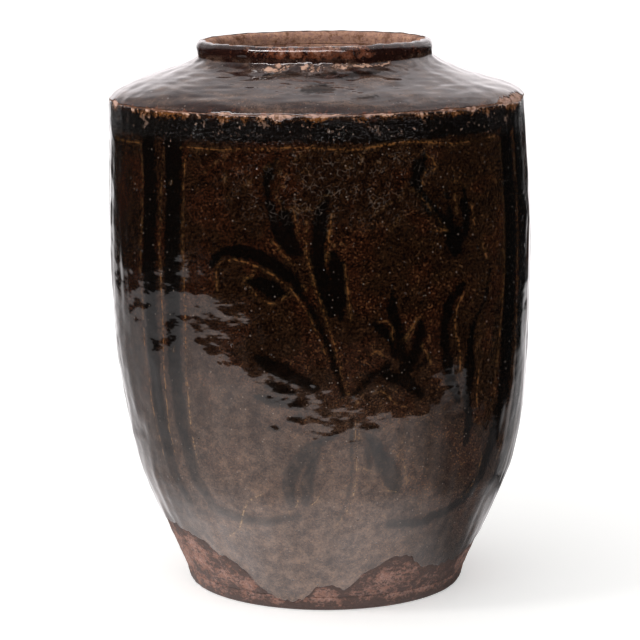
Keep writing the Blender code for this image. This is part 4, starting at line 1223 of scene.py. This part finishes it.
class POT_OT_shoulder_glaze(bpy.types.Operator):
    """Add the coat of black glaze over shoulder, neck and lip"""

    bl_idname = "pot.shoulder_glaze"
    bl_label = "Shoulder glaze"

    def execute(self, context):
        """The coat runs from the bare edge over the shoulder and up to the lip's crest. It is thinner on
        the lip, sinks to the clay in the bare patches, has a shallow hollow at the front of the shoulder
        and stands high in a pool at the neck's root. Numbers on its vertices tell the material where it
        is sunk, thin, hazy or bare, where black is painted in pools as a painted dark reflection, and
        where pale streaks are partly a painted reflection of the sky."""
        colours, outline = settings_of(context)
        angle = round_angles(300, 230)
        degrees = np.degrees(angle)
        low = outline.edge + bare_reach(degrees, 1)
        high = outline.crest + (0.7 * ripple(angle, 0, 0.03, 111) - 0.6) * MM
        share = coat_rows(104)
        up = low + (high - low) * share
        height = outline.line.at(up)[1] / MM
        bare = 0 * up
        for middle, width, patch_z, patch_half in NECK_PATCHES:
            spot = (turned(degrees, middle) / width) ** 2 + ((height - patch_z) / patch_half) ** 2
            bare = np.maximum(bare, smooth(1.5, 0.4, spot + 0.25 * ripple(angle, up, 0.006, 112)))
        lip = smooth(outline.lip_foot, outline.lip_foot + 3 * MM, up)
        front = about(degrees, 3, 27)

        thick = 0.13 * ripple(angle, up, 0.022, 114, 1.6) + 0.06 * ripple(angle, up, 0.01, 115, 2.6, 48)
        hollow = ((degrees - 1) / 15) ** 2 + ((height - 409.6) / 2.6) ** 2
        thick = thick - 0.3 * smooth(1.4, 0.5, hollow + 0.2 * ripple(angle, up, 0.012, 119))
        pool = about(degrees, -6, 17) * np.exp(-(((height - 425.5) / 3.2) ** 2))
        thick = thick + (0.75 + 0.15 * ripple(angle, up, 0.012, 122)) * pool
        full = outline.sizes.coat + thick * MM - 0.5 * MM * lip - 0.5 * MM * bare
        full = full - THIN_END * np.exp(-(up - low) / THIN_REACH)
        full = np.maximum(full, COAT_BACK + 0.08 * MM)
        runs = coat_runs(outline, angle, low, high, share, full, 26)
        tones = colours.shoulder_dark, colours.shoulder_brown, colours.shoulder_brown, colours.lip_brown
        glaze = iron_glaze("Iron glaze, poured and fired, black shoulder", colours, tones, 0.02, 0.3, 0.12)
        piece = make_piece(
            "black_shoulder_glaze", outline, angle, runs, ["shoulder_glaze"], glaze
        )

        # The lip is browner and more worn at its front, from just under its foot up to the crest
        pools_painted_dark = painted(SHOULDER_POOLS_PAINTED_DARK, degrees + 0 * up, height) + 0.3 * ripple(angle, up, 0.005, 120)
        near_crest = smooth(outline.crest - 6 * MM, outline.crest - 1.5 * MM, up)
        worn = lip * near_crest * (0.04 + (0.18 + 0.12 * ripple(angle, up, 0.006, 113)) * front)
        above_foot = smooth(outline.lip_foot - 1.5 * MM, outline.lip_foot + 2.6 * MM, up)
        patchy = (0.04 + 0.2 * front) * ripple(angle, up, 0.012, 116)
        thin = lip * (0.05 + 1.05 * front * above_foot + patchy) + 0.4 * np.exp(-(up - low) / (2 * MM))
        # Streaks of dull skin on the shoulder, paler partly as a painted reflection of the sky, none on the
        # lip
        skin = 0.24 + 0.18 * ripple(angle, up, 0.02, 117, 4.0) + 0.14 * ripple(angle, up, 0.008, 118, 3.4, 48)
        mark(
            piece,
            # The pools have a duller coat, and their black is a painted dark reflection
            sunk=smooth(-0.3, 0.8, pools_painted_dark),
            ink=1.4 * pools_painted_dark,
            line=FAR_OFF + 0 * up,
            line_half=NO_LINE + 0 * up,
            grit=0.3 + lip * (0.4 + 0.8 * front),
            thin=np.clip(thin, 0, None),
            haze=np.clip(skin, 0, 0.8) * (1 - lip),
            bare=np.maximum(bare * 0.9, worn),
        )
        return {"FINISHED"}


class POT_OT_lining(bpy.types.Operator):
    """Add the thin glaze that lines the inside"""

    bl_idname = "pot.lining"
    bl_label = "Lining glaze"

    def execute(self, context):
        """The back of the coat runs out over the floor, round a fillet, up the inside of the wall and in
        under the shoulder; its face runs back one coat further in, with finger ridges as a cosine of the
        length along it."""
        colours, outline = settings_of(context)
        s = outline.sizes
        angle = round_angles(120, 120)
        line = outline.line
        wall_r, wall_z = line.at(np.linspace(outline.slab_top + 0.012, outline.wall_top, 80), -s.wall)
        under_r, under_z = line.at(np.linspace(outline.edge + 0.014, outline.neck - 0.006, 14), -s.wall)
        floor_r = np.linspace(0, wall_r[0] - 0.008, 12)
        floor_z = np.full(12, s.base_thickness)
        radius = np.concatenate([floor_r, wall_r, under_r])
        inside = Line(radius, np.concatenate([floor_z, wall_z, under_z]), 3 * MM)
        end = inside.run[-1]
        run = even_rows(0, end, 170, angle)
        ridge = 0.3 * (1 + np.cos(math.tau * run / 0.011 + 0.7 * np.sin(angle)))
        ridge = ridge * smooth(0.12, 0.16, run) * smooth(end, end - 0.06, run)
        back_r, back_z = inside.at(run, -COAT_BACK)
        face_r, face_z = inside.at(run, (-1.1 - ridge) * MM)
        # Both start at one point in the middle of the floor
        back_r[0] = 0
        face_r[0] = 0
        glaze = lining_glaze("Thin brown glaze, swilled inside", colours)
        runs = [(back_r, back_z), (face_r[::-1], face_z[::-1])]
        make_piece("inner_lining_glaze", outline, angle, runs, ["lining_glaze"], glaze)
        return {"FINISHED"}


# How far the pale table reaches from the pot's middle, as the glaze mirrors it: degrees, metres
TABLE = (
    (-180, 0.6), (-150, 1.2), (-135, 1.15), (-125, 1.1), (-110, 1.2), (-95, 1.16), (-84, 1.26),
    (-75, 1.36), (-65, 1.18), (-57, 1), (-46, 0.94), (-38, 0.86), (-30, 0.72), (-21, 0.62), (-13, 0.55),
    (-4, 0.5), (13, 0.48), (30, 0.5), (44, 0.52), (54, 0.57), (62, 0.68), (70, 0.78), (76, 0.68),
    (84, 0.56), (96, 0.5), (110, 0.38), (122, 0.28), (140, 0.28), (180, 0.6),
)

# Brightness of that table at the left: degrees, share
LEFT_TABLE = (
    (48, 1), (62, 0.84), (74, 0.62), (84, 0.47), (92, 0.39), (100, 0.35), (108, 0.36), (118, 0.28),
    (128, 0.2), (140, 0.24), (150, 0.5), (160, 1), (180, 1.1),
)

# The white backdrop behind the pot in the same mirror: its brightness by degrees from the front, and the
# degrees where it starts on either side, by metres from the pot's middle
BACKDROP = (
    (110, 0.12), (130, 0.28), (145, 0.5), (152, 0.72), (158, 1.05), (164, 1.25), (180, 1.3),
)
BACKDROP_RIGHT = (
    (0.5, 112), (0.66, 121), (1.04, 131), (1.57, 149), (2, 153), (3, 157), (5, 160),
)
BACKDROP_LEFT = (
    (1.1, 122), (1.3, 130), (1.57, 142), (2, 150), (3, 155), (5, 158),
)


def between(places, at):
    """Height of the straight lines through the places, level before the first and past the last."""
    return np.interp(at, *np.transpose(places))


def mirrored_floor(degrees, radius):
    """Brightness that the glaze mirrors on the floor. The table is lit by LEFT_TABLE and dimmer in the
    pot's soft shadow at the right, and brighter close to the pot and near it at the back left. Past the
    table's edge it is dark, up to the backdrop behind, whose edge is soft over eight degrees."""
    inside = 1 - smooth(-0.008, 0.008, radius - through(TABLE, degrees))
    close = smooth(0.3, 0.19, radius)
    shadow = smooth(10, 76, degrees) * smooth(150, 118, degrees) * smooth(0.95, 0.55, radius)
    shadow = shadow * (1 - 0.34 * close * smooth(84, 118, degrees))
    near = 0.3 * smooth(0.95, 0.65, radius) * smooth(116, 144, -degrees)
    near = near + 0.4 * smooth(0.5, 0.3, radius) * smooth(100, 122, -degrees)
    lit = np.minimum(between(LEFT_TABLE, -degrees) + near, 1.05)
    table = inside * (1.0 - 0.93 * shadow) * lit * (1 + 0.58 * close)
    behind = np.abs(degrees)
    starts = np.where(degrees > 0, between(BACKDROP_RIGHT, radius), between(BACKDROP_LEFT, radius))
    backdrop = between(BACKDROP, behind) * smooth(starts - 4, starts + 4, behind)
    return np.maximum(table, backdrop * (radius > 0.3))


class POT_OT_studio(bpy.types.Operator):
    """Add the pale floor, the soft light and the camera"""

    bl_idname = "pot.studio"
    bl_label = "Studio"

    def execute(self, context):
        """Adds the floor, the sky, one lamp and the camera."""
        self.floor(context.scene.pot_colours.floor)
        self.world(context)
        self.softbox("Key softbox", (-1.5, -0.9, 1.9), 0.5, 10)
        self.camera(context)
        return {"FINISHED"}

    def floor(self, pale_tone):
        """A level disc of rings that widen outwards, with a fan in the middle. Its vertices keep the
        brightness that the glaze mirrors, which only glossy rays see; everything else sees a pale matt
        board, a little brighter for the camera."""
        angle = np.radians(np.arange(0, 360, 2.5))[None]
        radius = np.concatenate([np.linspace(0.02, 2.2, 160), np.geomspace(2.3, 30, 24)])[:, None]
        mirrored = mirrored_floor(turned(np.degrees(angle), 0), radius)
        x, y = radius * np.sin(angle), -radius * np.cos(angle)
        rows, columns = x.shape
        points = np.stack([x, y, 0 * x], -1).reshape(-1, 3)
        points = np.concatenate([points, [[0, 0, 0]]])
        number = np.arange(rows * columns).reshape(rows, columns)
        low, high = number[:-1], number[1:]
        quads = np.stack([low, high, np.roll(high, -1, 1), np.roll(low, -1, 1)], -1).reshape(-1, 4)
        fan = np.stack([np.full(columns, rows * columns), number[0], np.roll(number[0], -1)], -1)
        mesh = bpy.data.meshes.new("floor")
        mesh.from_pydata(points.tolist(), [], quads.tolist() + fan.tolist())
        mesh.update()
        material, node, ground = new_material("Matt painted board, floor")
        pale = node("BsdfDiffuse", {"Color": pale_tone})
        seen = node("Attribute", attribute_name="mirrored", out="Fac")
        uneven = node("TexNoise", {"Vector": ground, "Scale": per(142.857), "Detail": 2})
        uneven = node("MapRange", {0: uneven, 1: 0.3, 2: 0.7, 3: 0.84, 4: 1.12})
        strength = node("Math", {0: seen, 1: uneven, 2: 0.008}, operation="MULTIPLY_ADD")
        lit = node("Emission", {"Color": (1.0, 0.97, 0.98), "Strength": strength})
        rays = node("LightPath", out=None).outputs
        lift = node("Math", {0: rays["Is Camera Ray"], 1: 0.42}, operation="MULTIPLY")
        pale = node("AddShader", {0: pale, 1: node("Emission", {"Strength": lift})})
        both = node("MixShader", {0: rays["Is Glossy Ray"], 1: pale, 2: lit})
        node("OutputMaterial", {"Surface": both}, out=None)
        mesh.materials.append(material)
        floor = bpy.data.objects.new("floor", mesh)
        mark(floor, mirrored=mirrored)
        bpy.context.scene.collection.objects.link(floor)

    def world(self, context):
        """A soft white sky. The glaze mirrors it as a bright panel overhead and behind with a dark room in
        front, and a whiter strip low behind the pot; the clay is lit by all of it, more from above."""
        world = bpy.data.worlds.new("Soft studio light")
        context.scene.world = world
        node = empty_tree(world)
        way = node("TexCoord", out="Generated")
        tip = node("VectorMath", {0: way, 1: (0.0, 0.5, 0.87)}, operation="DOT_PRODUCT", out="Value")
        panel = node("MapRange", {0: tip, 1: 0.3, 2: 0.6, 3: 0.012, 4: 1.0}, interpolation_type="SMOOTHSTEP")
        x, y, z = node("SeparateXYZ", {0: way}, out=None).outputs
        behind = node("MapRange", {0: y, 1: 0.77, 2: 0.99, 3: 0.0, 4: 1.15}, interpolation_type="SMOOTHSTEP")
        side = node("MapRange", {0: x, 1: -0.5, 2: 0.5, 3: 0.41, 4: 0.84})
        panel = node("Math", {0: panel, 1: side}, operation="MULTIPLY")
        uneven = node("TexNoise", {"Vector": way, "Scale": 6, "Detail": 2})
        uneven = node("MapRange", {0: uneven, 1: 0.36, 2: 0.64, 3: 0.66, 4: 1.18})
        panel = node("Math", {0: panel, 1: uneven}, operation="MULTIPLY")
        panel = node("Math", {0: panel, 1: behind}, operation="MAXIMUM")
        # A wide softbox high in front, seen as glints on the neck's root, the edge and the lip
        above = node("MapRange", {0: z, 1: 0.54, 2: 0.58})
        below = node("MapRange", {0: z, 1: 0.84, 2: 0.8})
        ahead = node("VectorMath", {0: way, 1: (-0.31, -0.95, 0.0)}, operation="DOT_PRODUCT", out="Value")
        ahead = node("MapRange", {0: ahead, 1: 0.5, 2: 0.53, 3: 0.0, 4: 9.0})
        box = node("Math", {0: above, 1: below}, operation="MULTIPLY")
        panel = node("Math", {0: box, 1: ahead, 2: panel}, operation="MULTIPLY_ADD")
        # The light that falls on clay and floor, strongest from high at the left, and a white sky for the
        # camera
        lean = node("VectorMath", {0: way, 1: (-0.68, -0.2, 0.7)}, operation="DOT_PRODUCT", out="Value")
        soft = node("MapRange", {0: lean, 1: -0.6, 2: 1.0, 3: 0.17, 4: 1.1})
        rays = node("LightPath", out=None).outputs
        strength = node("Mix", {0: rays["Is Glossy Ray"], 2: soft, 3: panel})
        strength = node("Mix", {0: rays["Is Camera Ray"], 2: strength, 3: 1.0})
        tint = node("Mix", {0: rays["Is Glossy Ray"], 6: (1, 1, 1), 7: (1, 0.94, 0.955)}, **OF_COLOURS)
        background = node("Background", {"Color": tint, "Strength": strength})
        node("OutputWorld", {"Surface": background}, out=None)

    def softbox(self, name, place, size, watts):
        """A round lamp that is turned to the middle of the pot and that the camera doesn't see."""
        light = bpy.data.lights.new(name, "AREA")
        light.shape = "DISK"
        light.size = size
        light.energy = watts
        box = bpy.data.objects.new(name, light)
        box.location = place
        aim = np.array((0, 0, 0.25)) - np.array(place)
        box.rotation_euler = (
            math.atan2(math.hypot(aim[0], aim[1]), -aim[2]),
            0,
            math.atan2(-aim[0], aim[1]),
        )
        box.visible_camera = False
        bpy.context.scene.collection.objects.link(box)

    def camera(self, context):
        """The photo's camera, 10.2 degrees down and far off, as the ellipses of foot and lip show. The
        shifts put the pot where it stands in the photo."""
        lens = bpy.data.cameras.new("Camera")
        lens.sensor_width = 36
        lens.lens = 142.67
        lens.shift_x = -0.0084
        lens.shift_y = -0.0167
        camera = bpy.data.objects.new("Camera", lens)
        camera.location = (0, -2.02587, 0.58474)
        camera.rotation_euler = (math.pi / 2 - 0.17802, 0, 0)
        context.scene.collection.objects.link(camera)
        context.scene.camera = camera
        context.scene.view_settings.view_transform = "Standard"


STEPS = (
    POT_OT_base_slab,
    POT_OT_clay_walls,
    POT_OT_shoulder_clay,
    POT_OT_wall_glaze,
    POT_OT_shoulder_glaze,
    POT_OT_lining,
    POT_OT_studio,
)


class POT_PT_panel(bpy.types.Panel):
    """Lists the pot's pieces, sizes and colours"""

    bl_idname = "POT_PT_panel"
    bl_label = "Vinegar pot"
    bl_space_type = "VIEW_3D"
    bl_region_type = "UI"
    bl_category = "Pot"

    def draw(self, context):
        """A button for each step, and a box of settings for each group."""
        for step in STEPS:
            self.layout.operator(step.bl_idname)
        for group in (context.scene.pot_sizes, context.scene.pot_colours):
            box = self.layout.box()
            for name in group.__annotations__:
                box.prop(group, name)


CLASSES = (PotSizes, PotColours, *STEPS, POT_PT_panel)


def register():
    """Registers the classes, and hangs the sizes and colours on the scene."""
    for kind in CLASSES:
        bpy.utils.register_class(kind)
    bpy.types.Scene.pot_sizes = PointerProperty(type=PotSizes)
    bpy.types.Scene.pot_colours = PointerProperty(type=PotColours)


def unregister():
    """Takes away what register added, in the opposite order."""
    del bpy.types.Scene.pot_colours
    del bpy.types.Scene.pot_sizes
    for kind in reversed(CLASSES):
        bpy.utils.unregister_class(kind)


def main():
    """Runs every step."""
    register()
    for step in STEPS:
        getattr(bpy.ops.pot, step.bl_idname.removeprefix("pot."))()


if __name__ == "__main__":
    main()
